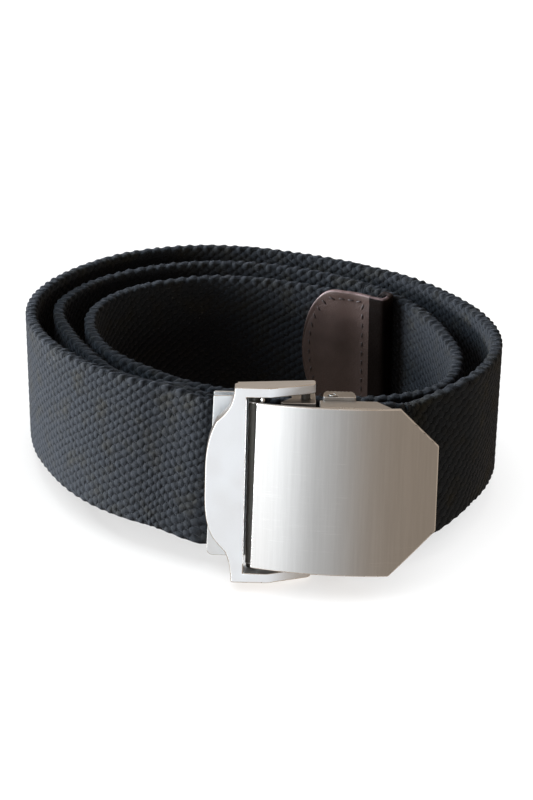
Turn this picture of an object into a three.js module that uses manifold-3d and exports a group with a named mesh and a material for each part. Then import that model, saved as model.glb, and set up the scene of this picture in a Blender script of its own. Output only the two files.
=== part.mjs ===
// A woven work belt with a metal flip buckle, coiled in three loops and standing on its edge.
// Millimetres, +Z up, the buckle faces -Y. The origin is on the floor, under the middle of the whole belt.
import * as THREE from 'three';
import { mergeVertices } from 'three/addons/utils/BufferGeometryUtils.js';
import Module from 'manifold-3d';

const manifold = await Module();
manifold.setup();

const CLEARANCE = 0.3;

// The strap: 38 mm webbing, its coil seen from above, and how it stands.
const STRAP_HALF_WIDTH = 19.3;
const STRAP_THICKNESS = 3.2;
const STRAP_EDGE_CUT = 0.9;
const CRIMP_SPREAD = 0.8;
const CRIMP_REACH = 90;
const COIL_STEP = 9;
const COIL_CENTRE = { x: 0, y: 12 };
const TIP_TURN = 954.8;

// Radius of the three loops at the strap's half width, by degrees clockwise from the buckle.
const LOOPS = [
  { turn: 0, inner: 38.4 },
  { turn: 18, outer: 56.1, middle: 52.4, inner: 37.5 },
  { turn: 36, outer: 56.7, middle: 52.8, inner: 37.6 },
  { turn: 54, outer: 58.5, middle: 52.9, inner: 38.8 },
  { turn: 72, outer: 61.0, middle: 52.2, inner: 43.0 },
  { turn: 90, outer: 65.0, middle: 55.4, inner: 47.6 },
  { turn: 108, outer: 69.1, middle: 62.0, inner: 51.5 },
  { turn: 126, outer: 71.1, middle: 62.6, inner: 51.0 },
  { turn: 144, outer: 71.2, middle: 59.3, inner: 47.2 },
  { turn: 162, outer: 68.3, middle: 55.0, inner: 43.4 },
  { turn: 180, outer: 62.7, middle: 50.8, inner: 39.4 },
  { turn: 198, outer: 58.3, middle: 48.0, inner: 37.4 },
  { turn: 216, outer: 56.8, middle: 47.1, inner: 38.0 },
  { turn: 236, outer: 58.0, middle: 48.0, inner: 43.0 },
  { turn: 252, outer: 60.3, middle: 49.5 },
  { turn: 270, outer: 64.3, middle: 52.4 },
  { turn: 288, outer: 67.7, middle: 57.4 },
  { turn: 306, outer: 69.4, middle: 58.9 },
  { turn: 324, outer: 69.3, middle: 51.2 },
  { turn: 342, middle: 43.5 },
];

// The buckle holds the outer loops up and leans them back; further in, the strap stands on the floor.
const STANCE = [
  { turn: 27, lift: 5.7, lean: 13 },
  { turn: 45, lift: 5.4, lean: 11 },
  { turn: 60, lift: 5.0, lean: 7 },
  { turn: 75, lift: 4.5, lean: 3 },
  { turn: 92, lift: 3.6, lean: 0.5 },
  { turn: 110, lift: 2.2, lean: -0.4 },
  { turn: 132, lift: 0.9, lean: 0 },
  { turn: 159, lift: 0, lean: 0 },
  { turn: 190, lift: 0, lean: 0 },
  { turn: 216, lift: 0.8, lean: 0 },
  { turn: 244, lift: 1.9, lean: 0 },
  { turn: 269, lift: 3.4, lean: -0.5 },
  { turn: 292, lift: 5.2, lean: -1.2 },
  { turn: 314, lift: 6.2, lean: 1.5 },
  { turn: 326, lift: 6.2, lean: 5 },
  { turn: 387, lift: 5.6, lean: 12.6 },
  { turn: 400, lift: 4.3, lean: 12 },
  { turn: 415, lift: 3.0, lean: 9.5 },
  { turn: 430, lift: 2.0, lean: 5.5 },
  { turn: 447, lift: 1.2, lean: 2 },
  { turn: 465, lift: 0.6, lean: 0.5 },
  { turn: 485, lift: 0, lean: 0 },
  { turn: 960, lift: 0, lean: 0 },
];

// The buckle's own frame: across, up and forward from the middle of the bracket's left edge.
const BUCKLE_X = -7.4;
const BUCKLE_Y = -56.8;
const BUCKLE_Z = 26.2;
const BUCKLE_LEAN = 12.1;
const BUCKLE_ROLL = 1.4;

// The coil tips back by this angle, because the bracket's lower arm props up its front.
const REST_TILT = 1.04;

// The strap's route in the buckle's frame.
const CLAMPED_ROUTE = [
  { across: 2.4, up: 0.5, forward: -12.0 },
  { across: -2.0, up: 0.5, forward: -12.0 },
  { across: -7.4, up: 0.5, forward: -12.1 },
];
const THREADED_ROUTE = [
  { across: 47.0, up: 0.5, forward: -15.4 },
  { across: 39.0, up: 0.8, forward: -13.3 },
  { across: 29.0, up: 1.0, forward: -13.2 },
  { across: 20.0, up: 1.0, forward: -13.6 },
  { across: 11.0, up: 1.0, forward: -15.3 },
  { across: 3.0, up: 1.0, forward: -16.8 },
  { across: -7.0, up: 1.0, forward: -17.6 },
];

// The C-shaped bracket.
const BRACKET_HALF_HEIGHT = 26.5;
const BRACKET_ARM = 2.65;
const BRACKET_BAR_RIGHT = 3.2;
const BRACKET_DEPTH = 5.2;
const BRACKET_ARM_FRONT = 9.6;
const BRACKET_ARM_END = 21.2;
const LUG_REACH = 7.3;
const LUG_SHOULDER = { across: -4.5, top: 17.4, bottom: 15.0 };
const LUG_NECK = { across: -1.8, top: 20.2, bottom: 18.0 };
const LUG_FLAT = { top: 4, bottom: -3 };
const LUG_EASE = { top: 5, bottom: 3.8 };
const NECK_EASE = { across: -0.2, top: 2.2, bottom: 3 };
const BRACKET_CORNER = 0.5;
const ARM_ROOT = 0.6;
const ARM_ROUND = 1;
const ARM_SLOPE = 0.8;
const ARM_TIP_FRONT = -6.4;
const ARM_TIP_BACK = -10.4;
const ARM_ROOT_BACK = -6.6;

// The curved face plate.
const PLATE_LEFT = 5.8;
const PLATE_RIGHT = 53.4;
const PLATE_HALF_HEIGHT = 22.7;
const PLATE_THICKNESS = 1.3;
const PLATE_RADIUS = 68;
const PLATE_CROWN = 5.2;
const PLATE_CUT_TOP = { across: 10.4, up: 12.4 };
const PLATE_CUT_BOTTOM = { across: 12.0, up: 11.0 };
const PLATE_SKEW = { across: 0.7, up: 0.6 };
const PLATE_COLUMNS = 24;
const FLANGE_LEFT = 22.2;
const FLANGE_RIGHT = 40.6;
const FLANGE_BACK = -3.8;
const FLANGE_LOWER_LIFT = 0.2;

// The toothed cam and its pin.
const CAM_LEFT = 23.1;
const CAM_RIGHT = 31.7;
const CAM_FRONT = -4.1;
const CAM_BACK = -10.7;
const CAM_HALF_HEIGHT = 23.6;
const CAM_TEETH = 7;
const CAM_TOOTH_DEPTH = 0.5;
const CAM_CHAMFER = 0.6;
const CAM_SHOULDER = { across: 0.8, back: 2.4 };
const CAM_PIN_PROUD = 0.3;
const CAM_PIN = { across: 25.6, forward: -5.6, radius: 1.1 };

// The back frame, its pivot pins and the clip on the strap's end.
const FRAME_LEG_TOP = 22.2;
const FRAME_SHEET = 1.2;
const FRAME_LEFT = 12.0;
const FRAME_RIGHT = 21.2;
const FRAME_FRONT = -2.2;
const FRAME_BACK = -17.6;
const FRAME_STEP = { across: 3, back: 6 };
const JOIN_LAP = 0.2;
const PIVOT = { across: 18.6, forward: -7.4, radius: 1.2 };
const PIVOT_BORE = 26.1;
const HINGE_BAR = { across: 5.4, forward: -5.0, radius: 1.5 };
const CLIP_HALF_HEIGHT = 22.0;
const CLIP_SHEET = 0.7;
const CLIP_LEFT = { top: -5.6, bottom: -6.7 };
const CLIP_ROUND = 2;
const CLIP_RIGHT = 3.6;
const CLIP_TOP_ROUND = 0.6;
const CLIP_TRIM = 1;
const CLIP_TRIM_DEPTH = 20;
const HOOK_START = -0.75 * Math.PI;
const HOOK_DROP = { outer: 2.2, inner: 1.6 };
const HOOK_LAP = { outer: 0.5, inner: 1.2 };

// The leather tab on the free end.
const LEATHER = 1.2;
const TAB_HALF_HEIGHT = 19.7;
const TAB_LENGTH = 24;
const TAB_ROUND = 11;
const TAB_TIP_SHARE = 0.02;
const TAB_FOLD_STEPS = 8;
// The flap's rings, as distances back from its round end.
const TAB_RINGS = [0, 0.3, 1, 2, 3.5, 5.5, 7.5, 10, 14, 19, 23.6];

const webbing = new THREE.MeshStandardMaterial({ color: 0x26272b, roughness: 0.95, metalness: 0 });
const leather = new THREE.MeshStandardMaterial({ color: 0x3a2a28, roughness: 0.65, metalness: 0 });
const brushed = new THREE.MeshStandardMaterial({ color: 0xc9cacb, roughness: 0.35, metalness: 1 });
const cast = new THREE.MeshStandardMaterial({ color: 0xdcdddd, roughness: 0.45, metalness: 1 });
const steel = new THREE.MeshStandardMaterial({ color: 0x9a9896, roughness: 0.4, metalness: 1 });

const radians = THREE.MathUtils.degToRad;

// The buckle leans back, away from the viewer.
const lean = radians(BUCKLE_LEAN);
const roll = radians(BUCKLE_ROLL);
const buckle = new THREE.Group();
buckle.rotation.set(Math.PI / 2 - lean, 0, -roll);
buckle.position.set(BUCKLE_X, BUCKLE_Y, BUCKLE_Z);
buckle.updateMatrixWorld(true);

// Turns a geometry into a manifold-3d solid.
function toSolid(geometry) {
  const bare = geometry.index ? geometry.toNonIndexed() : geometry.clone();
  bare.deleteAttribute('normal');
  bare.deleteAttribute('uv');
  const merged = mergeVertices(bare, 1e-4);
  return new manifold.Manifold(new manifold.Mesh({
    numProp: 3,
    vertProperties: new Float32Array(merged.attributes.position.array),
    triVerts: new Uint32Array(merged.index.array),
  }));
}

// Turns a manifold-3d solid back into a geometry.
function toGeometry(solid) {
  const mesh = solid.getMesh();
  const geometry = new THREE.BufferGeometry();
  geometry.setAttribute('position', new THREE.BufferAttribute(mesh.vertProperties, 3));
  geometry.setIndex(new THREE.BufferAttribute(mesh.triVerts, 1));
  geometry.computeVertexNormals();
  return geometry;
}

// Joins rings of points into one closed solid with flat ends.
function loft(rings) {
  const count = rings[0].length;
  const positions = rings.flat().flatMap((point) => [point.x, point.y, point.z]);
  const faces = [];
  for (let ring = 0; ring < rings.length - 1; ring += 1) {
    for (let side = 0; side < count; side += 1) {
      const next = (side + 1) % count;
      const a = ring * count + side;
      const b = ring * count + next;
      faces.push(a, b + count, b, a, a + count, b + count);
    }
  }
  const last = (rings.length - 1) * count;
  for (let side = 1; side < count - 1; side += 1) {
    faces.push(0, side, side + 1, last, last + side + 1, last + side);
  }
  const geometry = new THREE.BufferGeometry();
  geometry.setAttribute('position', new THREE.Float32BufferAttribute(positions, 3));
  geometry.setIndex(faces);
  geometry.computeVertexNormals();
  return geometry;
}

// A shape drawn across and forward, made as high as the buckle needs.
function upright(shape, low, high, curveSegments = 10) {
  const geometry = new THREE.ExtrudeGeometry(shape, { depth: high - low, bevelEnabled: false, curveSegments });
  geometry.rotateX(-Math.PI / 2);
  geometry.translate(0, low, 0);
  return geometry;
}

// A round bar that stands along the buckle's height.
function roundBar({ across, forward, radius }, low, high) {
  const geometry = new THREE.CylinderGeometry(radius, radius, high - low, 20);
  geometry.translate(across, (low + high) / 2, forward);
  return geometry;
}

// A box between two corners in the buckle's frame.
function block(left, right, low, high, back, front) {
  const geometry = new THREE.BoxGeometry(right - left, high - low, front - back);
  geometry.translate((left + right) / 2, (low + high) / 2, (back + front) / 2);
  return geometry;
}

// The row after a turn, and how far the turn lies between the two rows.
function findRow(turns, turn) {
  const found = turns.findIndex((value) => value > turn);
  const after = found < 0 ? turns.length - 1 : Math.max(1, found);
  const part = (turn - turns[after - 1]) / (turns[after] - turns[after - 1]);
  return { after, part: THREE.MathUtils.clamp(part, 0, 1) };
}

function readStance(column, turn) {
  const { after, part } = findRow(STANCE.map((row) => row.turn), turn);
  return THREE.MathUtils.lerp(STANCE[after - 1][column], STANCE[after][column], part);
}

// All three loops as one smooth curve of the radius.
function loopRows(column, turns) {
  return LOOPS.filter((row) => row[column]).map((row) => new THREE.Vector2(row.turn + turns * 360, row[column]));
}

const RADIUS_ROWS = [...loopRows('outer', 0), ...loopRows('middle', 1), ...loopRows('inner', 2)];
const RADIUS_CURVE = new THREE.SplineCurve(RADIUS_ROWS);

function loopRadius(turn) {
  const { after, part } = findRow(RADIUS_ROWS.map((row) => row.x), turn);
  return RADIUS_CURVE.getPoint((after - 1 + part) / (RADIUS_ROWS.length - 1)).y;
}

function coilSection(turn) {
  const radius = loopRadius(turn);
  const angle = radians(270 - turn);
  const tilt = radians(readStance('lean', turn));
  const half = STRAP_HALF_WIDTH + CRIMP_SPREAD * Math.max(0, 1 - turn / CRIMP_REACH);
  const outward = new THREE.Vector3(Math.cos(angle), Math.sin(angle), 0);
  const centre = outward.clone().multiplyScalar(radius);
  centre.x += COIL_CENTRE.x;
  centre.y += COIL_CENTRE.y;
  centre.z = readStance('lift', turn) + half * Math.cos(tilt);
  const up = new THREE.Vector3(0, 0, Math.cos(tilt)).addScaledVector(outward, -Math.sin(tilt));
  return { centre, up, half };
}

function buckleSection({ across, up, forward }, half) {
  const centre = buckle.localToWorld(new THREE.Vector3(across, up, forward));
  const axis = new THREE.Vector3(0, 1, 0).transformDirection(buckle.matrixWorld);
  return { centre, up: axis, half };
}

function coilSections(first, last) {
  const steps = Math.round((last - first) / COIL_STEP);
  const turnAt = (step) => THREE.MathUtils.lerp(first, last, step / steps);
  return Array.from({ length: steps + 1 }, (_, step) => coilSection(turnAt(step)));
}

// The strap's whole route, from the clip to the free end.
function strapRoute() {
  const stations = [
    ...CLAMPED_ROUTE.map((row) => buckleSection(row, STRAP_HALF_WIDTH + CRIMP_SPREAD)),
    ...coilSections(28, 307),
    ...THREADED_ROUTE.map((row) => buckleSection(row, STRAP_HALF_WIDTH)),
    ...coilSections(388, TIP_TURN),
  ];
  const centres = new THREE.CatmullRomCurve3(stations.map((station) => station.centre), false, 'centripetal');
  const ups = new THREE.CatmullRomCurve3(stations.map((station) => station.up), false, 'catmullrom');
  const steps = (stations.length - 1) * 2;
  return Array.from({ length: steps + 1 }, (_, step) => {
    const part = step / steps;
    const station = Math.min(Math.floor(step / 2), stations.length - 2);
    const blend = step / 2 - station;
    const along = centres.getTangent(part);
    const up = ups.getPoint(part);
    up.addScaledVector(along, -up.dot(along)).normalize();
    return {
      centre: centres.getPoint(part),
      up,
      side: new THREE.Vector3().crossVectors(along, up),
      half: THREE.MathUtils.lerp(stations[station].half, stations[station + 1].half, blend),
    };
  });
}

// One ring of the strap: a flat band with cut edges.
function strapRing({ centre, up, side, half }) {
  const out = STRAP_THICKNESS / 2;
  const inner = out - STRAP_EDGE_CUT;
  const low = half - STRAP_EDGE_CUT;
  const outline = [
    [out, -low], [out, low], [inner, half], [-inner, half],
    [-out, low], [-out, -low], [-inner, -half], [inner, -half],
  ];
  const place = ([across, height]) => centre.clone().addScaledVector(side, across).addScaledVector(up, height);
  return outline.map(place);
}

const route = strapRoute();

function makeStrap() {
  return loft(route.map(strapRing));
}

// The bracket's plan on its front face: lug, bar, and the two arms' front ends.
function bracketFace() {
  const top = BRACKET_HALF_HEIGHT;
  const slot = top - BRACKET_ARM;
  const shape = new THREE.Shape();
  shape.moveTo(BRACKET_CORNER, top);
  shape.lineTo(BRACKET_ARM_FRONT, top);
  shape.lineTo(BRACKET_ARM_FRONT, slot);
  shape.lineTo(BRACKET_BAR_RIGHT, slot);
  shape.lineTo(BRACKET_BAR_RIGHT, -slot);
  shape.lineTo(BRACKET_ARM_FRONT, -slot);
  shape.lineTo(BRACKET_ARM_FRONT, -top);
  shape.lineTo(BRACKET_CORNER, -top);
  shape.quadraticCurveTo(0, -top, 0, -top + BRACKET_CORNER);
  shape.quadraticCurveTo(NECK_EASE.across, -LUG_NECK.bottom - NECK_EASE.bottom, LUG_NECK.across, -LUG_NECK.bottom);
  shape.lineTo(LUG_SHOULDER.across, -LUG_SHOULDER.bottom);
  shape.quadraticCurveTo(-LUG_REACH, -LUG_SHOULDER.bottom + LUG_EASE.bottom, -LUG_REACH, LUG_FLAT.bottom);
  shape.lineTo(-LUG_REACH, LUG_FLAT.top);
  shape.quadraticCurveTo(-LUG_REACH, LUG_SHOULDER.top - LUG_EASE.top, LUG_SHOULDER.across, LUG_SHOULDER.top);
  shape.lineTo(LUG_NECK.across, LUG_NECK.top);
  shape.quadraticCurveTo(NECK_EASE.across, LUG_NECK.top + NECK_EASE.top, 0, top - BRACKET_CORNER);
  shape.quadraticCurveTo(0, top, BRACKET_CORNER, top);
  return shape;
}

// An arm's plan, across and backwards.
function armPlan() {
  const shape = new THREE.Shape();
  shape.moveTo(ARM_ROOT, 0);
  shape.lineTo(BRACKET_ARM_FRONT, 0);
  shape.lineTo(BRACKET_ARM_END - ARM_ROUND, -ARM_TIP_FRONT - ARM_SLOPE);
  shape.quadraticCurveTo(BRACKET_ARM_END, -ARM_TIP_FRONT, BRACKET_ARM_END, -ARM_TIP_FRONT + ARM_ROUND);
  shape.lineTo(BRACKET_ARM_END, -ARM_TIP_BACK - ARM_ROUND);
  shape.quadraticCurveTo(BRACKET_ARM_END, -ARM_TIP_BACK, BRACKET_ARM_END - ARM_ROUND, -ARM_TIP_BACK);
  shape.lineTo(ARM_ROOT, -ARM_ROOT_BACK);
  return shape;
}

function makeBracket() {
  const settings = { depth: BRACKET_DEPTH, bevelEnabled: false, curveSegments: 8 };
  const face = new THREE.ExtrudeGeometry(bracketFace(), settings);
  face.translate(0, 0, -BRACKET_DEPTH);
  const low = BRACKET_HALF_HEIGHT - BRACKET_ARM;
  const upper = toSolid(upright(armPlan(), low, BRACKET_HALF_HEIGHT));
  const lower = toSolid(upright(armPlan(), -BRACKET_HALF_HEIGHT, -low));
  const bore = toSolid(roundBar({ ...PIVOT, radius: PIVOT.radius + CLEARANCE }, -PIVOT_BORE, PIVOT_BORE));
  return toGeometry(toSolid(face).add(upper).add(lower).subtract(bore));
}

// How far forward the plate's outer face lies.
function plateForward(across) {
  const middle = (PLATE_LEFT + PLATE_RIGHT) / 2;
  return PLATE_CROWN - PLATE_RADIUS + Math.sqrt(PLATE_RADIUS ** 2 - (across - middle) ** 2);
}

// How high the plate reaches above or below its middle, with its corners cut.
function plateReach(across, cut) {
  const past = Math.max(0, across - (PLATE_RIGHT - cut.across));
  return PLATE_HALF_HEIGHT - (past * cut.up) / cut.across;
}

function makeFacePlate() {
  const stops = [PLATE_RIGHT - PLATE_CUT_TOP.across, PLATE_RIGHT - PLATE_CUT_BOTTOM.across];
  for (let column = 0; column <= PLATE_COLUMNS; column += 1) {
    stops.push(THREE.MathUtils.lerp(PLATE_LEFT, PLATE_RIGHT, column / PLATE_COLUMNS));
  }
  stops.sort((a, b) => a - b);
  const sheet = loft(stops.map((across) => {
    const front = plateForward(across);
    const high = plateReach(across, PLATE_CUT_TOP);
    const skew = (PLATE_RIGHT - across) / (PLATE_RIGHT - PLATE_LEFT);
    const low = skew * PLATE_SKEW.up - plateReach(across, PLATE_CUT_BOTTOM);
    const foot = across - skew * PLATE_SKEW.across;
    return [
      new THREE.Vector3(foot, low, front),
      new THREE.Vector3(across, high, front),
      new THREE.Vector3(across, high, front - PLATE_THICKNESS),
      new THREE.Vector3(foot, low, front - PLATE_THICKNESS),
    ];
  }));
  const front = plateForward(FLANGE_RIGHT) - PLATE_THICKNESS / 2;
  const inner = PLATE_HALF_HEIGHT - PLATE_THICKNESS;
  const upper = block(FLANGE_LEFT, FLANGE_RIGHT, inner, PLATE_HALF_HEIGHT, FLANGE_BACK, front);
  const foot = FLANGE_LOWER_LIFT - PLATE_HALF_HEIGHT;
  const lower = block(FLANGE_LEFT, FLANGE_RIGHT, foot, FLANGE_LOWER_LIFT - inner, FLANGE_BACK, front);
  return toGeometry(toSolid(sheet).add(toSolid(upper)).add(toSolid(lower)));
}

// The cam's plan: a flat front, round shoulders, and teeth along its back.
function camPlan() {
  const shape = new THREE.Shape();
  const pitch = (CAM_RIGHT - CAM_LEFT - 2 * CAM_SHOULDER.across) / CAM_TEETH;
  const shoulder = -CAM_BACK - CAM_SHOULDER.back;
  const toothRoot = -CAM_BACK - CAM_TOOTH_DEPTH;
  shape.moveTo(CAM_LEFT + CAM_CHAMFER, -CAM_FRONT);
  shape.lineTo(CAM_RIGHT - CAM_CHAMFER, -CAM_FRONT);
  shape.lineTo(CAM_RIGHT, -CAM_FRONT + CAM_CHAMFER);
  shape.quadraticCurveTo(CAM_RIGHT, shoulder, CAM_RIGHT - CAM_SHOULDER.across, toothRoot);
  for (let tooth = 0; tooth < CAM_TEETH; tooth += 1) {
    const start = CAM_RIGHT - CAM_SHOULDER.across - tooth * pitch;
    shape.lineTo(start - pitch / 2, -CAM_BACK);
    shape.lineTo(start - pitch, toothRoot);
  }
  shape.quadraticCurveTo(CAM_LEFT, shoulder, CAM_LEFT, -CAM_FRONT + CAM_CHAMFER);
  const hole = new THREE.Path();
  hole.absarc(CAM_PIN.across, -CAM_PIN.forward, CAM_PIN.radius + CLEARANCE, 0, 2 * Math.PI, true);
  shape.holes.push(hole);
  return shape;
}

function makeCam() {
  return upright(camPlan(), -CAM_HALF_HEIGHT, CAM_HALF_HEIGHT);
}

// A leg's plan of the back frame, bored for the pivot pin.
function legPlan() {
  const shape = new THREE.Shape();
  shape.moveTo(FRAME_LEFT, -FRAME_FRONT);
  shape.lineTo(FRAME_RIGHT, -FRAME_FRONT);
  shape.lineTo(FRAME_RIGHT, -FRAME_BACK);
  shape.lineTo(FRAME_LEFT + FRAME_STEP.across, -FRAME_BACK);
  shape.lineTo(FRAME_LEFT + FRAME_STEP.across, -FRAME_FRONT + FRAME_STEP.back);
  const hole = new THREE.Path();
  hole.absarc(PIVOT.across, -PIVOT.forward, PIVOT.radius + CLEARANCE, 0, 2 * Math.PI, true);
  shape.holes.push(hole);
  return shape;
}

function makeBackFrame() {
  const inner = FRAME_LEG_TOP - FRAME_SHEET;
  const upper = toSolid(upright(legPlan(), inner, FRAME_LEG_TOP));
  const lower = toSolid(upright(legPlan(), -FRAME_LEG_TOP, -inner));
  const left = FRAME_LEFT + FRAME_STEP.across;
  const high = inner + JOIN_LAP;
  const crossbar = block(left, FRAME_RIGHT, -high, high, FRAME_BACK, FRAME_BACK + FRAME_SHEET);
  return toGeometry(upper.add(lower).add(toSolid(crossbar)));
}

// The clip's plan: two leaves round the strap's end, and a hook round the hinge bar.
function clipChannel() {
  const middle = CLAMPED_ROUTE[0].forward;
  const inside = STRAP_THICKNESS / 2 + CLEARANCE;
  const outside = inside + CLIP_SHEET;
  const shape = new THREE.Shape();
  const left = CLIP_LEFT.bottom;
  shape.moveTo(left, -middle - outside);
  shape.lineTo(CLIP_RIGHT, -middle - outside);
  shape.lineTo(CLIP_RIGHT, -middle + outside);
  shape.lineTo(left, -middle + outside);
  shape.lineTo(left, -middle + inside);
  shape.lineTo(CLIP_RIGHT - CLIP_SHEET, -middle + inside);
  shape.lineTo(CLIP_RIGHT - CLIP_SHEET, -middle - inside);
  shape.lineTo(left, -middle - inside);
  return shape;
}

function clipHook() {
  const { across, forward, radius } = HINGE_BAR;
  const inside = radius + CLEARANCE;
  const outside = inside + CLIP_SHEET;
  const shape = new THREE.Shape();
  const middle = CLAMPED_ROUTE[0].forward;
  shape.absarc(across, -forward, outside, HOOK_START, 0, false);
  shape.lineTo(across + outside, -forward + HOOK_DROP.outer);
  shape.lineTo(CLIP_RIGHT, -middle - HOOK_LAP.outer);
  shape.lineTo(CLIP_RIGHT - CLIP_SHEET, -middle - HOOK_LAP.inner);
  shape.lineTo(across + inside, -forward + HOOK_DROP.inner);
  shape.lineTo(across + inside, -forward);
  shape.absarc(across, -forward, inside, 0, HOOK_START, true);
  return shape;
}

// The clip seen from the front: its left corners are round.
function clipFront() {
  const { top, bottom } = CLIP_LEFT;
  const high = CLIP_HALF_HEIGHT;
  const shape = new THREE.Shape();
  shape.moveTo(CLIP_RIGHT + CLIP_TRIM, high);
  shape.lineTo(top + CLIP_TOP_ROUND, high);
  shape.quadraticCurveTo(top, high, top, high - CLIP_TOP_ROUND);
  shape.lineTo(bottom, CLIP_ROUND - high);
  shape.quadraticCurveTo(bottom, -high, bottom + CLIP_ROUND, -high);
  shape.lineTo(CLIP_RIGHT + CLIP_TRIM, -high);
  return shape;
}

function makeClip() {
  const tall = CLIP_HALF_HEIGHT + CLIP_TRIM;
  const channel = toSolid(upright(clipChannel(), -tall, tall));
  const settings = { depth: CLIP_TRIM_DEPTH, bevelEnabled: false, curveSegments: 6 };
  const front = new THREE.ExtrudeGeometry(clipFront(), settings);
  front.translate(0, 0, -CLIP_TRIM_DEPTH);
  const hook = toSolid(upright(clipHook(), -CLIP_HALF_HEIGHT, CLIP_HALF_HEIGHT));
  return toGeometry(channel.intersect(toSolid(front)).add(hook));
}

// The leather tab follows both faces of the strap's free end and the fold round it.
function makeTab() {
  const end = route[route.length - 1];
  const rings = [];
  const gap = STRAP_THICKNESS / 2 + CLEARANCE;
  const lengthBack = [0];
  for (let step = route.length - 1; step > 0; step -= 1) {
    const previous = lengthBack[lengthBack.length - 1];
    lengthBack.push(previous + route[step].centre.distanceTo(route[step - 1].centre));
  }
  const stationAt = (distance) => {
    const after = lengthBack.findIndex((length) => length >= distance);
    const part = (distance - lengthBack[after - 1]) / (lengthBack[after] - lengthBack[after - 1]);
    const near = route[route.length - after];
    const far = route[route.length - 1 - after];
    return {
      centre: near.centre.clone().lerp(far.centre, part),
      up: near.up.clone().lerp(far.up, part).normalize(),
      side: near.side.clone().lerp(far.side, part).normalize(),
    };
  };
  const reach = (distance) => {
    const past = Math.max(0, distance - (TAB_LENGTH - TAB_ROUND)) / TAB_ROUND;
    return TAB_HALF_HEIGHT * Math.sqrt(Math.max(TAB_TIP_SHARE, 1 - past * past));
  };
  const flapRing = (distance, sign) => {
    const { centre, up, side } = stationAt(distance);
    const height = reach(distance);
    const near = centre.clone().addScaledVector(side, sign * gap);
    const far = centre.clone().addScaledVector(side, sign * (gap + LEATHER));
    return [
      far.clone().addScaledVector(up, -height), far.clone().addScaledVector(up, height),
      near.clone().addScaledVector(up, height), near.clone().addScaledVector(up, -height),
    ];
  };
  const distances = TAB_RINGS.map((back) => TAB_LENGTH - back);
  const foldRing = (angle) => {
    const along = new THREE.Vector3().crossVectors(end.up, end.side);
    const direction = end.side.clone().multiplyScalar(Math.cos(angle)).addScaledVector(along, Math.sin(angle));
    const near = end.centre.clone().addScaledVector(direction, gap);
    const far = end.centre.clone().addScaledVector(direction, gap + LEATHER);
    return [
      far.clone().addScaledVector(end.up, -TAB_HALF_HEIGHT), far.clone().addScaledVector(end.up, TAB_HALF_HEIGHT),
      near.clone().addScaledVector(end.up, TAB_HALF_HEIGHT), near.clone().addScaledVector(end.up, -TAB_HALF_HEIGHT),
    ];
  };
  distances.forEach((distance) => rings.push(flapRing(distance, 1)));
  for (let step = 0; step <= TAB_FOLD_STEPS; step += 1) {
    rings.push(foldRing((step * Math.PI) / TAB_FOLD_STEPS));
  }
  distances.slice().reverse().forEach((distance) => rings.push(flapRing(distance, -1)));
  return loft(rings);
}

function named(name, geometry, material) {
  const mesh = new THREE.Mesh(geometry, material);
  mesh.name = name;
  return mesh;
}

const belt = new THREE.Group();
belt.add(named('strap', makeStrap(), webbing));
belt.add(named('tip_tab', makeTab(), leather));
belt.add(buckle);
const pinReach = PIVOT_BORE - CLEARANCE;
const pinStart = FRAME_LEG_TOP - FRAME_SHEET - JOIN_LAP;
const camPinReach = CAM_HALF_HEIGHT + CAM_PIN_PROUD;
buckle.add(named('bracket', makeBracket(), cast));
buckle.add(named('face_plate', makeFacePlate(), brushed));
buckle.add(named('toothed_cam', makeCam(), steel));
buckle.add(named('cam_pin', roundBar(CAM_PIN, -camPinReach, camPinReach), steel));
buckle.add(named('back_frame', makeBackFrame(), steel));
buckle.add(named('pivot_pin_top', roundBar(PIVOT, pinStart, pinReach), steel));
buckle.add(named('pivot_pin_bottom', roundBar(PIVOT, -pinReach, -pinStart), steel));
const barReach = BRACKET_HALF_HEIGHT - BRACKET_ARM - CLEARANCE;
buckle.add(named('hinge_bar', roundBar(HINGE_BAR, -barReach, barReach), steel));
buckle.add(named('end_clip', makeClip(), steel));

belt.rotation.x = -radians(REST_TILT);
belt.updateMatrixWorld(true);
const bounds = new THREE.Box3().setFromObject(belt, true);
const middle = bounds.getCenter(new THREE.Vector3());
belt.position.set(-middle.x, -middle.y, -bounds.min.z);

export default belt;
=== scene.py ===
"""Looks for a woven work belt with a metal flip buckle, coiled in three loops and standing on its edge."""
import logging
import math
from collections.abc import Callable, Sequence
from dataclasses import dataclass, field
from enum import Enum

import bmesh
import bpy
import numpy as np
from mathutils import Matrix, Vector


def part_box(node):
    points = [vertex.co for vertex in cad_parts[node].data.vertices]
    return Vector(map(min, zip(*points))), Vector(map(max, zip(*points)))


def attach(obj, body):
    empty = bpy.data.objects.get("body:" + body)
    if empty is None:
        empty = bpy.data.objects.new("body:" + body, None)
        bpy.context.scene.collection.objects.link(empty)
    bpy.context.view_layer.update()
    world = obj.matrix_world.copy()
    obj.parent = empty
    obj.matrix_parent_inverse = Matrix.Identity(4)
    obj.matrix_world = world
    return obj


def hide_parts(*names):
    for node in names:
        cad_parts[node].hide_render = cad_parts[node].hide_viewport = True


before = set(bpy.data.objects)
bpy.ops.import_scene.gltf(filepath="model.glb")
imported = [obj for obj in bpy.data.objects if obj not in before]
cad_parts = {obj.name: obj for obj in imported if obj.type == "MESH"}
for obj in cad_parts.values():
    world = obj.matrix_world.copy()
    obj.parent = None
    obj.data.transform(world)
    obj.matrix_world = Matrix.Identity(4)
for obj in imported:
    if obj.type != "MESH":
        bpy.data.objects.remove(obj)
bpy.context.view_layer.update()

LOG = logging.getLogger("work_belt")
MM = 0.001
CLEARANCE = 0.3

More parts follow.
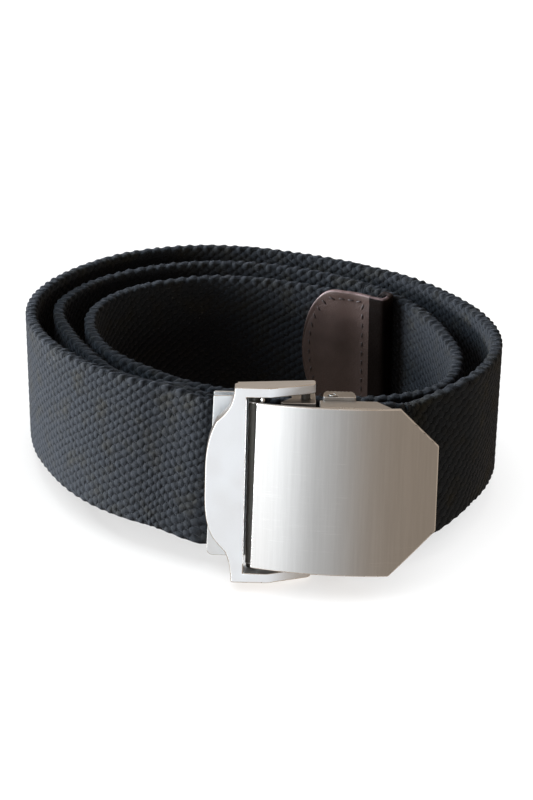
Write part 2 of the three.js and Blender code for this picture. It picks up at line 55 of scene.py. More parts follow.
# The buckle's own frame leans back and rolls; the whole coil tips by the rest tilt.
BUCKLE_PLACE = (-7.4, -56.8, 26.2)
BUCKLE_LEAN = 12.1
BUCKLE_ROLL = 1.4
REST_TILT = 1.04
HINGE_ACROSS = 5.4
HINGE_FORWARD = -5.0

# A stitch's reach along the strap and across it, in repeats of the weave.
STITCH_WIDE = 0.32
STITCH_HIGH = 0.54
STITCH_SLANT = 0.16

Point = tuple[float, float]
Point3 = tuple[float, float, float]


class Slot(Enum):
    """The record's material slots."""

    WEBBING = "webbing"
    LEATHER = "leather"
    PLATE = "brushed_plate"
    CAST = "cast_frame"
    INNER = "inner_metal"


class Cut(Enum):
    """The ways in which one solid works on another."""

    JOIN = "UNION"
    TAKE_AWAY = "DIFFERENCE"
    KEEP_COMMON = "INTERSECT"


def turn_x(degrees: float) -> Matrix:
    """A turn about the X axis."""
    return Matrix.Rotation(math.radians(degrees), 4, "X")


def buckle_matrix() -> Matrix:
    """Finds the buckle's frame, in millimetres.

    Returns:
        The matrix from across, up and forward to the belt's frame. Its origin
        comes from the hinge bar, which is round and lies square in that frame.
    """
    turned = turn_x(90 - BUCKLE_LEAN - REST_TILT) @ Matrix.Rotation(math.radians(-BUCKLE_ROLL), 4, "Z")
    low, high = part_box("hinge_bar")
    middle = (low + high) / 2 / MM
    origin = middle - turned.to_3x3() @ Vector((HINGE_ACROSS, 0, HINGE_FORWARD))
    return Matrix.Translation(origin) @ turned


BUCKLE = buckle_matrix()


def deselect_all() -> None:
    """Leaves edit mode and deselects every object."""
    if bpy.context.mode != "OBJECT":
        bpy.ops.object.mode_set(mode="OBJECT")
    bpy.ops.object.select_all(action="DESELECT")


def activate(piece: bpy.types.Object) -> None:
    """Selects one object alone and makes it active."""
    deselect_all()
    piece.select_set(True)
    bpy.context.view_layer.objects.active = piece


def select_only(piece: bpy.types.Object, wanted: Callable[[Vector], bool]) -> None:
    """Selects the vertices that a test on their place picks, in edit mode."""
    bpy.ops.mesh.select_mode(type="VERT")
    bpy.ops.mesh.select_all(action="DESELECT")
    edit = bmesh.from_edit_mesh(piece.data)
    for vertex in edit.verts:
        vertex.select_set(wanted(vertex.co))
    edit.select_flush_mode()
    bmesh.update_edit_mesh(piece.data)


def arc_points(start: Point, control: Point, end: Point, steps: int = 10) -> list[Point]:
    """Points of a quadratic curve.

    Args:
        start: Where the curve starts; it isn't in the answer.
        control: The point that pulls the curve.
        end: Where the curve ends; it is the last point of the answer.
        steps: How many straight steps the curve has.

    Returns:
        The points after the start.
    """
    found = []
    for step in range(1, steps + 1):
        t = step / steps
        weights = ((1 - t) ** 2, 2 * t * (1 - t), t * t)
        found.append(tuple(weights[0] * a + weights[1] * b + weights[2] * c for a, b, c in zip(start, control, end)))
    return found


def trace(name: str, outline: Sequence[Point3], push: Point3) -> bpy.types.Object:
    """Traces a flat outline by extruding one corner, fills it and extrudes it to a plate.

    Args:
        name: The new object's name.
        outline: The corners in order, in millimetres in the buckle's frame.
        push: How far and where the filled outline is extruded.

    Returns:
        The new solid.
    """
    deselect_all()
    bpy.ops.mesh.primitive_plane_add(size=1, location=(0, 0, 0))
    piece = bpy.context.active_object
    piece.name = name
    bpy.ops.object.mode_set(mode="EDIT")
    bpy.ops.mesh.merge(type="CENTER")
    bpy.ops.transform.translate(value=outline[0])
    for here, there in zip(outline, outline[1:]):
        step = tuple(b - a for a, b in zip(here, there))
        bpy.ops.mesh.extrude_region_move(TRANSFORM_OT_translate={"value": step})
    first, last = Vector(outline[0]), Vector(outline[-1])
    select_only(piece, lambda at: (at - first).length < 1e-4 or (at - last).length < 1e-4)
    bpy.ops.mesh.edge_face_add()
    bpy.ops.mesh.select_all(action="SELECT")
    bpy.ops.mesh.edge_face_add()
    bpy.ops.mesh.extrude_region_move(TRANSFORM_OT_translate={"value": push})
    bpy.ops.mesh.select_all(action="SELECT")
    bpy.ops.mesh.normals_make_consistent(inside=False)
    bpy.ops.object.mode_set(mode="OBJECT")
    return piece


def trace_plan(name: str, plan: Sequence[Point], low: float, high: float) -> bpy.types.Object:
    """Traces a plan drawn across and backwards, and extrudes it up from low to high."""
    return trace(name, [(across, low, -back) for across, back in plan], (0, high - low, 0))


def add_block(name: str, low: Point3, high: Point3) -> bpy.types.Object:
    """Adds a box between two corners, in millimetres."""
    deselect_all()
    middle = [(a + b) / 2 for a, b in zip(low, high)]
    bpy.ops.mesh.primitive_cube_add(size=1, location=middle, scale=[b - a for a, b in zip(low, high)])
    piece = bpy.context.active_object
    piece.name = name
    bpy.ops.object.transform_apply(location=True, rotation=True, scale=True)
    return piece


def add_bar(name: str, at: Point, radius: float, low: float, high: float, sides: int = 40) -> bpy.types.Object:
    """Adds a round bar that stands along the buckle's height.

    Args:
        name: The new object's name.
        at: Its place across and forward.
        radius: Its radius.
        low: Its lower end.
        high: Its upper end.
        sides: How many sides it has.

    Returns:
        The bar.
    """
    deselect_all()
    bpy.ops.mesh.primitive_cylinder_add(
        vertices=sides,
        radius=radius,
        depth=high - low,
        location=(at[0], (low + high) / 2, at[1]),
        rotation=(math.pi / 2, 0, 0),
    )
    piece = bpy.context.active_object
    piece.name = name
    bpy.ops.object.transform_apply(location=True, rotation=True, scale=True)
    return piece


def work(base: bpy.types.Object, tool: bpy.types.Object, cut: Cut) -> None:
    """Joins, cuts or trims one solid with another, which is used up."""
    activate(base)
    modifier = base.modifiers.new("work", "BOOLEAN")
    modifier.operation = cut.value
    modifier.solver = "EXACT"
    modifier.object = tool
    bpy.ops.object.modifier_apply(modifier=modifier.name)
    bpy.data.objects.remove(tool)


def tidy_faces(piece: bpy.types.Object) -> None:
    """Merges doubled corners and dissolves the edges that lie inside flat faces."""
    activate(piece)
    bpy.ops.object.mode_set(mode="EDIT")
    bpy.ops.mesh.select_all(action="SELECT")
    bpy.ops.mesh.remove_doubles(threshold=0.002)
    bpy.ops.mesh.dissolve_limited(angle_limit=math.radians(0.5))
    bpy.ops.mesh.select_all(action="SELECT")
    bpy.ops.mesh.normals_make_consistent(inside=False)
    bpy.ops.object.mode_set(mode="OBJECT")


def soften(piece: bpy.types.Object, width: float, segments: int = 3, rim: int = 0) -> None:
    """Rounds a solid's sharp edges.

    Args:
        piece: The solid, in millimetres.
        width: How far the rounding reaches from the edge.
        segments: How many steps the rounding has.
        rim: The material index of the rounded edges.
    """
    activate(piece)
    modifier = piece.modifiers.new("soften", "BEVEL")
    modifier.width = width
    modifier.segments = segments
    modifier.limit_method = "ANGLE"
    modifier.angle_limit = math.radians(32)
    modifier.use_clamp_overlap = False
    modifier.material = rim
    bpy.ops.object.modifier_apply(modifier=modifier.name)
    level(piece)


def level(piece: bpy.types.Object) -> None:
    """Shades a rounded solid smooth, with its large faces flat."""
    activate(piece)
    bpy.ops.object.shade_smooth_by_angle(angle=math.radians(34))
    modifier = piece.modifiers.new("level", "WEIGHTED_NORMAL")
    modifier.weight = 100
    modifier.keep_sharp = True
    bpy.ops.object.modifier_apply(modifier=modifier.name)


def dish(bar: bpy.types.Object, rim: float, depth: float) -> None:
    """Sinks the middle of a round bar's two ends.

    Args:
        bar: The bar, along the buckle's height.
        rim: How wide the rim is that stays.
        depth: How deep the middle lies.
    """
    heights = [vertex.co.y for vertex in bar.data.vertices]
    activate(bar)
    bpy.ops.object.mode_set(mode="EDIT")
    for end, inward in ((max(heights), -1), (min(heights), 1)):
        select_only(bar, lambda at: abs(at.y - end) < 1e-4)
        bpy.ops.mesh.inset(thickness=rim)
        bpy.ops.mesh.extrude_region_move(TRANSFORM_OT_translate={"value": (0, inward * depth, 0)})
    bpy.ops.object.mode_set(mode="OBJECT")


def seat(piece: bpy.types.Object, slot: Slot, *nodes: str) -> bpy.types.Object:
    """Puts a piece that was modelled in the buckle's frame in its place on the belt.

    Args:
        piece: The piece, in millimetres, across, up and forward.
        slot: The record's slot; it is not used.
        nodes: The CAD nodes that it stands for.

    Returns:
        The same piece, at the origin, with its place in its mesh and its
        buckle coordinates in the attribute local_mm.
    """
    count = len(piece.data.vertices)
    local = np.zeros(count * 3, np.float32)
    piece.data.vertices.foreach_get("co", local)
    kept = piece.data.attributes.new("local_mm", "FLOAT_VECTOR", "POINT")
    kept.data.foreach_set("vector", local)
    piece.data.transform(Matrix.Scale(MM, 4) @ BUCKLE)
    piece.data.update()
    return own(piece, slot, *nodes)


def own(piece: bpy.types.Object, slot: Slot, *nodes: str) -> bpy.types.Object:
    """Makes a piece ride on the belt and hides the CAD nodes that it stands for."""
    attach(piece, "root")
    if nodes:
        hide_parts(*nodes)
    LOG.info("%s: %d faces", piece.name, len(piece.data.polygons))
    return piece


@dataclass
class Graph:
    """A material's node tree, with short ways to add and join nodes."""

    name: str
    material: bpy.types.Material = field(init=False)
    surface: bpy.types.Node = field(init=False)

    def __post_init__(self) -> None:
        """Makes the material with its surface shader."""
        self.material = bpy.data.materials.new(self.name)
        self.material.use_nodes = True
        self.surface = self.material.node_tree.nodes["Principled BSDF"]

    def add(self, kind: str, inputs: dict | None = None, **settings: object) -> bpy.types.Node:
        """Adds a node.

        Args:
            kind: The node's type, without ShaderNode.
            inputs: Values or output sockets by input name or number.
            settings: The node's own settings.

        Returns:
            The node.
        """
        node = self.material.node_tree.nodes.new("ShaderNode" + kind)
        for key, value in settings.items():
            setattr(node, key, value)
        for key, value in (inputs or {}).items():
            self.feed(node.inputs[key], value)
        return node

    def feed(self, socket: bpy.types.NodeSocket, value: object) -> None:
        """Links an output to a socket, or sets the socket's value."""
        if isinstance(value, bpy.types.NodeSocket):
            self.material.node_tree.links.new(value, socket)
        else:
            socket.default_value = value

    def math(self, operation: str, *values: object) -> bpy.types.NodeSocket:
        """The result of a Math node."""
        return self.add("Math", dict(enumerate(values)), operation=operation).outputs[0]

    def ramp(self, factor: object, low: float, high: float, start: float = 0, end: float = 1) -> bpy.types.NodeSocket:
        """A smooth step from start to end as the factor goes from low to high."""
        values = {"Value": factor, "From Min": low, "From Max": high, "To Min": start, "To Max": end}
        return self.add("MapRange", values, interpolation_type="SMOOTHSTEP").outputs["Result"]

    def mix(self, factor: object, first: object, second: object) -> bpy.types.NodeSocket:
        """A mix of two colours."""
        node = self.add("Mix", data_type="RGBA")
        self.feed(node.inputs["Factor"], factor)
        self.feed(node.inputs["A"], first)
        self.feed(node.inputs["B"], second)
        return node.outputs["Result"]

    def noise(self, vector: object, scale: float, detail: float = 3, roughness: float = 0.5) -> bpy.types.NodeSocket:
        """The value of a noise texture."""
        values = {"Vector": vector, "Scale": scale, "Detail": detail, "Roughness": roughness}
        return self.add("TexNoise", values).outputs["Fac"]

    def stretched(self, vector: object, scale: Point3) -> bpy.types.NodeSocket:
        """A vector with its axes scaled."""
        return self.add("Mapping", {"Vector": vector, "Scale": scale}).outputs["Vector"]

    def attribute(self, name: str) -> bpy.types.NodeSocket:
        """A vector attribute of the piece."""
        return self.add("Attribute", attribute_name=name).outputs["Vector"]

    def place(self) -> bpy.types.NodeSocket:
        """The place on the object, in metres."""
        return self.add("TexCoord").outputs["Object"]

    def dress(self, **values: object) -> bpy.types.Material:
        """Sets the surface shader's sockets by name, with _ for a space.

        Returns:
            The finished material.
        """
        for key, value in values.items():
            self.feed(self.surface.inputs[key.replace("_", " ")], value)
        return self.material

    def bump(self, height: object, strength: float, distance: float, below: object = None) -> bpy.types.NodeSocket:
        """A normal from a height, on top of another bump where one is given."""
        values = {"Height": height, "Strength": strength, "Distance": distance}
        if below is not None:
            values["Normal"] = below
        return self.add("Bump", values).outputs["Normal"]


@dataclass(frozen=True)
class WebbingFinish:
    """Black webbing of plump staggered stitches, with painted shade in the pits between them, a painted highlight on
    their crests, and a little lint with painted glints.
    """

    # The first colour is near black: painted shade for the pits between stitches.
    painted_pit_shade: Point3 = (0.0016, 0.0018, 0.0022)
    crest: Point3 = (0.0166, 0.0182, 0.0228)
    brown: Point3 = (0.0212, 0.0194, 0.0164)
    # The colour of the pale specks: partly lint, partly painted glints.
    lint_and_glint: Point3 = (0.16, 0.15, 0.14)

    def material(self) -> bpy.types.Material:
        """Builds the material on the strap's weave map, one repeat for each unit."""
        graph = Graph("webbing")
        weave = graph.add("UVMap", uv_map="weave").outputs["UV"]
        place = graph.place()
        wander = graph.add("TexNoise", {"Vector": place, "Scale": 420, "Detail": 3}).outputs["Color"]
        off_centre = graph.add("VectorMath", {0: wander, 1: (0.5, 0.5, 0.5)}, operation="SUBTRACT").outputs[0]
        drift = graph.add("VectorMath", {0: off_centre, 1: (0.42, 0.42, 0)}, operation="MULTIPLY").outputs[0]
        moved = graph.add("VectorMath", {0: weave, 1: drift}, operation="ADD").outputs[0]
        parts = graph.add("SeparateXYZ", {"Vector": moved})
        lumps = [self._lump(graph, parts.outputs["X"], parts.outputs["Y"], shift) for shift in (0, 0.5)]
        plump = graph.math("SQRT", graph.math("MAXIMUM", graph.math("MAXIMUM", *lumps), 0))
        waves = [graph.math("COSINE", graph.math("MULTIPLY", parts.outputs[axis], math.tau)) for axis in ("X", "Y")]
        crate = graph.math("MULTIPLY", *waves)
        # Painted shade: black in the pits where stitches meet, and a little darker round them.
        pit_shade = graph.math("MULTIPLY", graph.ramp(crate, -1, -0.78, 0, 1), graph.ramp(crate, -0.8, 0.3, 0.84, 1))
        single = graph.ramp(graph.noise(weave, 1.3, 3, 0.7), 0.3, 0.72, 0.65, 1.6)
        fibre = graph.noise(place, 2600, 4, 0.65)
        patch = graph.noise(place, 45, 3)
        yarn = graph.noise(graph.stretched(moved, (1.3, 8, 1)), 1, 3, 0.6)
        threads = graph.math("ADD", graph.math("MULTIPLY", fibre, 0.32), graph.math("MULTIPLY", yarn, 0.35))
        soft = graph.math("ADD", graph.math("MULTIPLY", plump, 0.5), graph.math("MULTIPLY", crate, 0.08))
        pits = graph.math("MULTIPLY", pit_shade, 0.6)
        height = graph.math("ADD", graph.math("ADD", soft, pits), threads)
        strands = graph.math("MULTIPLY", graph.ramp(fibre, 0.3, 0.7, 0.4, 1.55), graph.ramp(yarn, 0.3, 0.7, 0.65, 1.25))
        # Painted highlight and shade: the colour is lighter on each stitch's crest and darker towards its edges and
        # pits.
        crest_highlight_and_pit_shade = graph.math("MULTIPLY", graph.ramp(plump, 0.1, 0.85, 0.7, 1), pit_shade)
        shade = graph.math("MULTIPLY", crest_highlight_and_pit_shade, strands)
        # The painted shade times a random tone for each stitch and for each patch.
        shade_and_tone = graph.math("MULTIPLY", shade, graph.math("MULTIPLY", single, graph.ramp(patch, 0.25, 0.75, 0.82, 1.1)))
        tint = graph.ramp(graph.noise(place, 150, 4), 0.46, 0.75)
        colour = graph.mix(shade_and_tone, (*self.painted_pit_shade, 1), graph.mix(tint, (*self.crest, 1), (*self.brown, 1)))
        # Pale specks, partly lint and partly painted glints on the yarn.
        specks = graph.add("TexVoronoi", {"Vector": place, "Scale": 420}, feature="F1").outputs["Distance"]
        sparse = graph.ramp(graph.noise(place, 160, 2), 0.55, 0.68, 0, 0.7)
        lint_and_glint = graph.math("MULTIPLY", graph.ramp(specks, 0.07, 0.13, 1, 0), sparse)
        normal = graph.bump(height, 0.9, 0.0007)
        return graph.dress(
            Base_Color=graph.mix(lint_and_glint, colour, (*self.lint_and_glint, 1)),
            Roughness=graph.ramp(fibre, 0.2, 0.8, 0.72, 0.97),
            Normal=normal,
            Specular_IOR_Level=0.17,
            Sheen_Weight=0.1,
            Sheen_Roughness=0.4,
            Sheen_Tint=(0.75, 0.8, 0.95, 1),
        )

    @staticmethod
    def _lump(graph: Graph, along: object, row: object, shift: float) -> bpy.types.NodeSocket:
        """The height of one of the two sets of stitches, which are half a repeat apart."""
        wide, high = (graph.math("WRAP", graph.math("ADD", part, shift), 0.5, -0.5) for part in (along, row))
        slanted = graph.math("ADD", wide, graph.math("MULTIPLY", high, STITCH_SLANT))
        parts = [graph.math("DIVIDE", slanted, STITCH_WIDE), graph.math("DIVIDE", high, STITCH_HIGH)]
        return graph.math("SUBTRACT", 1, graph.math("ADD", *[graph.math("MULTIPLY", part, part) for part in parts]))


@dataclass(frozen=True)
class LeatherFinish:
    """Smooth leather with a pale raw rim."""

    name: str = "tab_leather"
    dark: Point3 = (0.042, 0.021, 0.018)
    light: Point3 = (0.072, 0.039, 0.032)
    raw: Point3 = (0.42, 0.27, 0.27)
    specular: float = 0.45
    coat: float = 0.15

    def material(self) -> bpy.types.Material:
        """Builds the material; the attribute rim is 1 on the cut edge."""
        graph = Graph(self.name)
        place = graph.place()
        rim = graph.add("Attribute", attribute_name="rim").outputs["Fac"]
        grain = graph.add("TexVoronoi", {"Vector": place, "Scale": 1500}, feature="DISTANCE_TO_EDGE").outputs["Distance"]
        pores = graph.noise(place, 3200, 3)
        patch = graph.noise(place, 110, 4)
        folds = graph.ramp(grain, 0.0, 0.3)
        skin = graph.mix(graph.ramp(patch, 0.3, 0.72), (*self.dark, 1), (*self.light, 1))
        raw = graph.mix(graph.noise(place, 900, 3), (*self.light, 1), (*self.raw, 1))
        edge = graph.math("MULTIPLY", rim, graph.ramp(graph.noise(place, 500, 3), 0.2, 0.6, 0.55, 1))
        height = graph.math("ADD", folds, graph.math("MULTIPLY", pores, 0.5))
        return graph.dress(
            Base_Color=graph.mix(edge, skin, raw),
            Roughness=graph.ramp(patch, 0.2, 0.8, 0.42, 0.62),
            Normal=graph.bump(height, 0.25, 0.0002),
            Specular_IOR_Level=self.specular,
            Coat_Weight=self.coat,
            Coat_Roughness=0.35,
        )


@dataclass(frozen=True)
class ThreadFinish:
    """Waxed brown sewing thread."""

    name: str = "thread"
    colour: Point3 = (0.016, 0.009, 0.009)

    def material(self) -> bpy.types.Material:
        """Builds the material with a fine twist."""
        graph = Graph(self.name)
        place = graph.place()
        twist = graph.noise(place, 2600, 2)
        light = tuple(min(1.0, 2.4 * part) for part in self.colour)
        return graph.dress(
            Base_Color=graph.mix(twist, (*self.colour, 1), (*light, 1)),
            Roughness=0.55,
            Normal=graph.bump(twist, 0.5, 0.0001),
        )


@dataclass(frozen=True)
class BrushedFinish:
    """Satin metal brushed along the buckle's height, with a few faint cross scratches."""

    name: str = "brushed_finish"
    dark: Point3 = (0.492, 0.494, 0.496)
    light: Point3 = (0.54, 0.543, 0.547)
    scratched: Point3 = (0.68, 0.68, 0.68)
    rough: Point = (0.33, 0.35)

    def material(self) -> bpy.types.Material:
        """Builds the material on the attribute local_mm."""
        graph = Graph(self.name)
        local = graph.attribute("local_mm")
        fine = graph.noise(graph.stretched(local, (1, 0.02, 0.4)), 9, 5, 0.75)
        bands = graph.noise(graph.stretched(local, (1, 0.01, 0.2)), 0.5, 2)
        cross = graph.noise(graph.stretched(local, (0.03, 1, 0.2)), 1.9, 4, 0.7)
        stretch = graph.ramp(graph.noise(graph.stretched(local, (0.12, 0.12, 0.12)), 1.0, 2), 0.45, 0.6)
        broad = graph.noise(graph.stretched(local, (1, 0.03, 0.3)), 1.6, 3, 0.6)
        lines = graph.math("ADD", graph.math("MULTIPLY", fine, 0.35), graph.math("MULTIPLY", broad, 0.4))
        tone = graph.math("ADD", lines, graph.math("MULTIPLY", bands, 0.25))
        scuffs = graph.math("MULTIPLY", graph.ramp(cross, 0.56, 0.72, 0, 0.4), stretch)
        base = graph.mix(graph.ramp(tone, 0.36, 0.64), (*self.dark, 1), (*self.light, 1))
        height = graph.math("ADD", fine, graph.math("MULTIPLY", scuffs, 0.6))
        return graph.dress(
            Base_Color=graph.mix(scuffs, base, (*self.scratched, 1)),
            Metallic=1.0,
            Roughness=graph.ramp(tone, 0.25, 0.75, *self.rough),
            Normal=graph.bump(height, 0.02, 0.000002),
        )


@dataclass(frozen=True)
class SatinFinish:
    """Plated metal with a fine pearly grain."""

    name: str
    dark: Point3
    light: Point3
    rough: Point
    grain: float = 0.1

    def material(self) -> bpy.types.Material:
        """Builds the material on object coordinates."""
        graph = Graph(self.name)
        place = graph.place()
        fine = graph.noise(place, 5200, 4, 0.6)
        patch = graph.noise(place, 160, 4)
        tone = graph.math("ADD", graph.math("MULTIPLY", fine, 0.4), graph.math("MULTIPLY", patch, 0.6))
        return graph.dress(
            Base_Color=graph.mix(graph.ramp(tone, 0.3, 0.7), (*self.dark, 1), (*self.light, 1)),
            Metallic=1.0,
            Roughness=graph.ramp(patch, 0.25, 0.75, *self.rough),
            Normal=graph.bump(fine, self.grain, 0.00005),
        )


CAST = SatinFinish("cast_finish", (0.79, 0.815, 0.85), (0.835, 0.86, 0.895), (0.5, 0.58))
RIM = SatinFinish("rim_finish", (0.8, 0.8, 0.8), (0.93, 0.93, 0.93), (0.2, 0.32), 0.05)
INNER = SatinFinish("inner_finish", (0.30, 0.29, 0.28), (0.46, 0.45, 0.44), (0.3, 0.45))
CLIP = SatinFinish("clip_finish", (0.86, 0.91, 0.955), (0.93, 0.965, 1.0), (0.42, 0.52))
LEATHER = LeatherFinish()
# Painted shade: a near-black leather for the faces round the fold, whose side stands in shade.
FOLD_SHADE = LeatherFinish("fold_shade_leather", (0.0042, 0.0024, 0.002), (0.0068, 0.0038, 0.0032), (0.3, 0.2, 0.2), 0.06, 0.0)
# Painted shade: a near-black metal for the hinge rod, the pivot studs and the clip's hook, which stand in the buckle's
# shade.
SHADED_METAL = SatinFinish("shaded_metal_finish", (0.1, 0.1, 0.094), (0.15, 0.149, 0.14), (0.5, 0.65))


def wear(piece: bpy.types.Object, *finishes: object) -> None:
    """Gives a piece its materials, in the order of its material indices."""
    piece.data.materials.clear()
    for finish in finishes:
        piece.data.materials.append(bpy.data.materials.get(finish.name) or finish.material())


@dataclass
class StrapRoute:
    """The strap's middle line and how it stands, as the solid has it, but sampled finely."""

    half_width: float = 19.3
    crimp_spread: float = 0.8
    crimp_reach: float = 90
    coil_step: float = 9
    coil_centre: Point = (0, 12)
    tip_turn: float = 954.8
    # Radius by degrees from the buckle: turn, outer, middle, inner; 0 where a loop has no row.
    loops: tuple = (
        (0, 0, 0, 38.4), (18, 56.1, 52.4, 37.5), (36, 56.7, 52.8, 37.6), (54, 58.5, 52.9, 38.8),
        (72, 61.0, 52.2, 43.0), (90, 65.0, 55.4, 47.6), (108, 69.1, 62.0, 51.5), (126, 71.1, 62.6, 51.0),
        (144, 71.2, 59.3, 47.2), (162, 68.3, 55.0, 43.4), (180, 62.7, 50.8, 39.4), (198, 58.3, 48.0, 37.4),
        (216, 56.8, 47.1, 38.0), (236, 58.0, 48.0, 43.0), (252, 60.3, 49.5, 0), (270, 64.3, 52.4, 0),
        (288, 67.7, 57.4, 0), (306, 69.4, 58.9, 0), (324, 69.3, 51.2, 0), (342, 0, 43.5, 0),
    )
    # How the strap stands: turn, lift, lean.
    stance: tuple = (
        (27, 5.7, 13), (45, 5.4, 11), (60, 5.0, 7), (75, 4.5, 3), (92, 3.6, 0.5), (110, 2.2, -0.4),
        (132, 0.9, 0), (159, 0, 0), (190, 0, 0), (216, 0.8, 0), (244, 1.9, 0), (269, 3.4, -0.5),
        (292, 5.2, -1.2), (314, 6.2, 1.5), (326, 6.2, 5), (387, 5.6, 12.6), (400, 4.3, 12),
        (415, 3.0, 9.5), (430, 2.0, 5.5), (447, 1.2, 2), (465, 0.6, 0.5), (485, 0, 0), (960, 0, 0),
    )
    # The route in the buckle's frame: across, up, forward.
    clamped: tuple = ((2.4, 0.5, -12.0), (-2.0, 0.5, -12.0), (-7.4, 0.5, -12.1))
    threaded: tuple = (
        (47, 0.5, -15.4), (39, 0.8, -13.3), (29, 1, -13.2), (20, 1, -13.6), (11, 1, -15.3),
        (3, 1, -16.8), (-7, 1, -17.6),
    )
    fine: int = 9000

    def __post_init__(self) -> None:
        """Finds the route's stations and samples them by length."""
        column = lambda index, turns: [(row[0] + 360 * turns, row[index]) for row in self.loops if row[index]]
        self.radius_rows = np.array(column(1, 0) + column(2, 1) + column(3, 2), float)
        turned = turn_x(-REST_TILT)
        self.coil = Matrix.Translation(BUCKLE.translation - turned @ Vector(BUCKLE_PLACE)) @ turned
        stations = [self._buckle(row, self.half_width + self.crimp_spread) for row in self.clamped]
        stations += [self._coil(turn) for turn in self._turns(28, 307)]
        stations += [self._buckle(row, self.half_width) for row in self.threaded]
        stations += [self._coil(turn) for turn in self._turns(388, self.tip_turn)]
        centres = np.array([station[0] for station in stations])
        ups = np.array([station[1] for station in stations])
        halves = np.array([station[2] for station in stations])
        part = np.linspace(0, len(stations) - 1, self.fine)
        self.centre = catmull(centres, part, 0.25)
        self.half = np.interp(part, np.arange(len(stations)), halves)
        along = np.gradient(self.centre, axis=0)
        step = np.linalg.norm(np.diff(self.centre, axis=0), axis=1)
        self.length = np.concatenate([[0], np.cumsum(step)])
        self.along = along / np.linalg.norm(along, axis=1, keepdims=True)
        up = catmull(ups, part, 0)
        up -= self.along * (up * self.along).sum(1, keepdims=True)
        self.up = up / np.linalg.norm(up, axis=1, keepdims=True)

    def _turns(self, first: float, last: float) -> np.ndarray:
        """The stations' turns, from first to last in even steps."""
        return np.linspace(first, last, round((last - first) / self.coil_step) + 1)

    def _radius(self, turn: float) -> float:
        """The coil's radius at a turn, on one smooth curve through the rows."""
        rows = self.radius_rows
        after = int(np.clip(np.searchsorted(rows[:, 0], turn, side="right"), 1, len(rows) - 1))
        t = float(np.clip((turn - rows[after - 1, 0]) / (rows[after, 0] - rows[after - 1, 0]), 0, 1))
        last = len(rows) - 1
        p0, p1, p2, p3 = (rows[min(max(after + step, 0), last), 1] for step in (-2, -1, 0, 1))
        v0, v1 = (p2 - p0) / 2, (p3 - p1) / 2
        return (2 * p1 - 2 * p2 + v0 + v1) * t**3 + (3 * p2 - 3 * p1 - 2 * v0 - v1) * t**2 + v0 * t + p1

    def _coil(self, turn: float) -> tuple[Vector, Vector, float]:
        """A station of the coil: its centre, its up direction and its half width."""
        rows = np.array(self.stance, float)
        lift = float(np.interp(turn, rows[:, 0], rows[:, 1]))
        tilt = math.radians(float(np.interp(turn, rows[:, 0], rows[:, 2])))
        half = self.half_width + self.crimp_spread * max(0.0, 1 - turn / self.crimp_reach)
        angle = math.radians(270 - turn)
        outward = Vector((math.cos(angle), math.sin(angle), 0))
        centre = outward * self._radius(turn) + Vector((*self.coil_centre, 0))
        centre.z = lift + half * math.cos(tilt)
        up = Vector((0, 0, math.cos(tilt))) - outward * math.sin(tilt)
        return self.coil @ centre, self.coil.to_3x3() @ up, half

    @staticmethod
    def _buckle(row: Point3, half: float) -> tuple[Vector, Vector, float]:
        """A station in the buckle's frame: its centre, its up direction and its half width."""
        return BUCKLE @ Vector(row), BUCKLE.to_3x3() @ Vector((0, 1, 0)), half

    def sample(self, lengths: np.ndarray) -> tuple[np.ndarray, np.ndarray, np.ndarray, np.ndarray]:
        """Reads the route at lengths from the clip.

        Args:
            lengths: Lengths along the strap, in millimetres.

        Returns:
            The centres, up directions, inward directions and half widths.
        """
        read = lambda table: np.stack([np.interp(lengths, self.length, table[:, axis]) for axis in range(3)], 1)
        centre, up, along = read(self.centre), read(self.up), read(self.along)
        up /= np.linalg.norm(up, axis=1, keepdims=True)
        side = np.cross(along, up)
        side /= np.linalg.norm(side, axis=1, keepdims=True)
        return centre, up, side, np.interp(lengths, self.length, self.half)


def catmull(points: np.ndarray, part: np.ndarray, power: float) -> np.ndarray:
    """Reads a Catmull-Rom curve that passes through points.

    Args:
        points: One row for each point.
        part: Where to read, in steps from the first point.
        power: 0 for the uniform curve, 0.25 for the centripetal one.

    Returns:
        One row for each part.
    """
    padded = np.vstack([2 * points[0] - points[1], points, 2 * points[-1] - points[-2]])
    first = np.clip(part.astype(int), 0, len(points) - 2)
    t = (part - first)[:, None]
    p0, p1, p2, p3 = (padded[first + step] for step in range(4))
    spans = [((b - a) ** 2).sum(1, keepdims=True) ** power for a, b in ((p0, p1), (p1, p2), (p2, p3))]
    d0, d1, d2 = spans
    v1 = ((p1 - p0) / d0 - (p2 - p0) / (d0 + d1) + (p2 - p1) / d1) * d1
    v2 = ((p2 - p1) / d1 - (p3 - p1) / (d1 + d2) + (p3 - p2) / d2) * d1
    return (2 * p1 - 2 * p2 + v1 + v2) * t**3 + (3 * p2 - 3 * p1 - 2 * v1 - v2) * t**2 + v1 * t + p1


def new_mesh(name: str, points: np.ndarray, faces: np.ndarray, caps: Sequence[Sequence[int]] = ()) -> bpy.types.Object:
    """Makes an object from points in millimetres, quads and flat end caps."""
    mesh = bpy.data.meshes.new(name)
    mesh.from_pydata((points * MM).tolist(), [], faces.tolist() + [list(cap) for cap in caps])
    mesh.polygons.foreach_set("use_smooth", [True] * len(faces) + [False] * len(caps))
    mesh.update()
    piece = bpy.data.objects.new(name, mesh)
    bpy.context.scene.collection.objects.link(piece)
    return piece


def ring_faces(rings: int, count: int) -> np.ndarray:
    """Quads that join closed rings of points, facing out where the rings turn right-handed."""
    ring, side = np.meshgrid(np.arange(rings - 1), np.arange(count), indexing="ij")
    after = (side + 1) % count
    a, b = ring * count + side, ring * count + after
    return np.stack([a, b, b + count, a + count], -1).reshape(-1, 4)


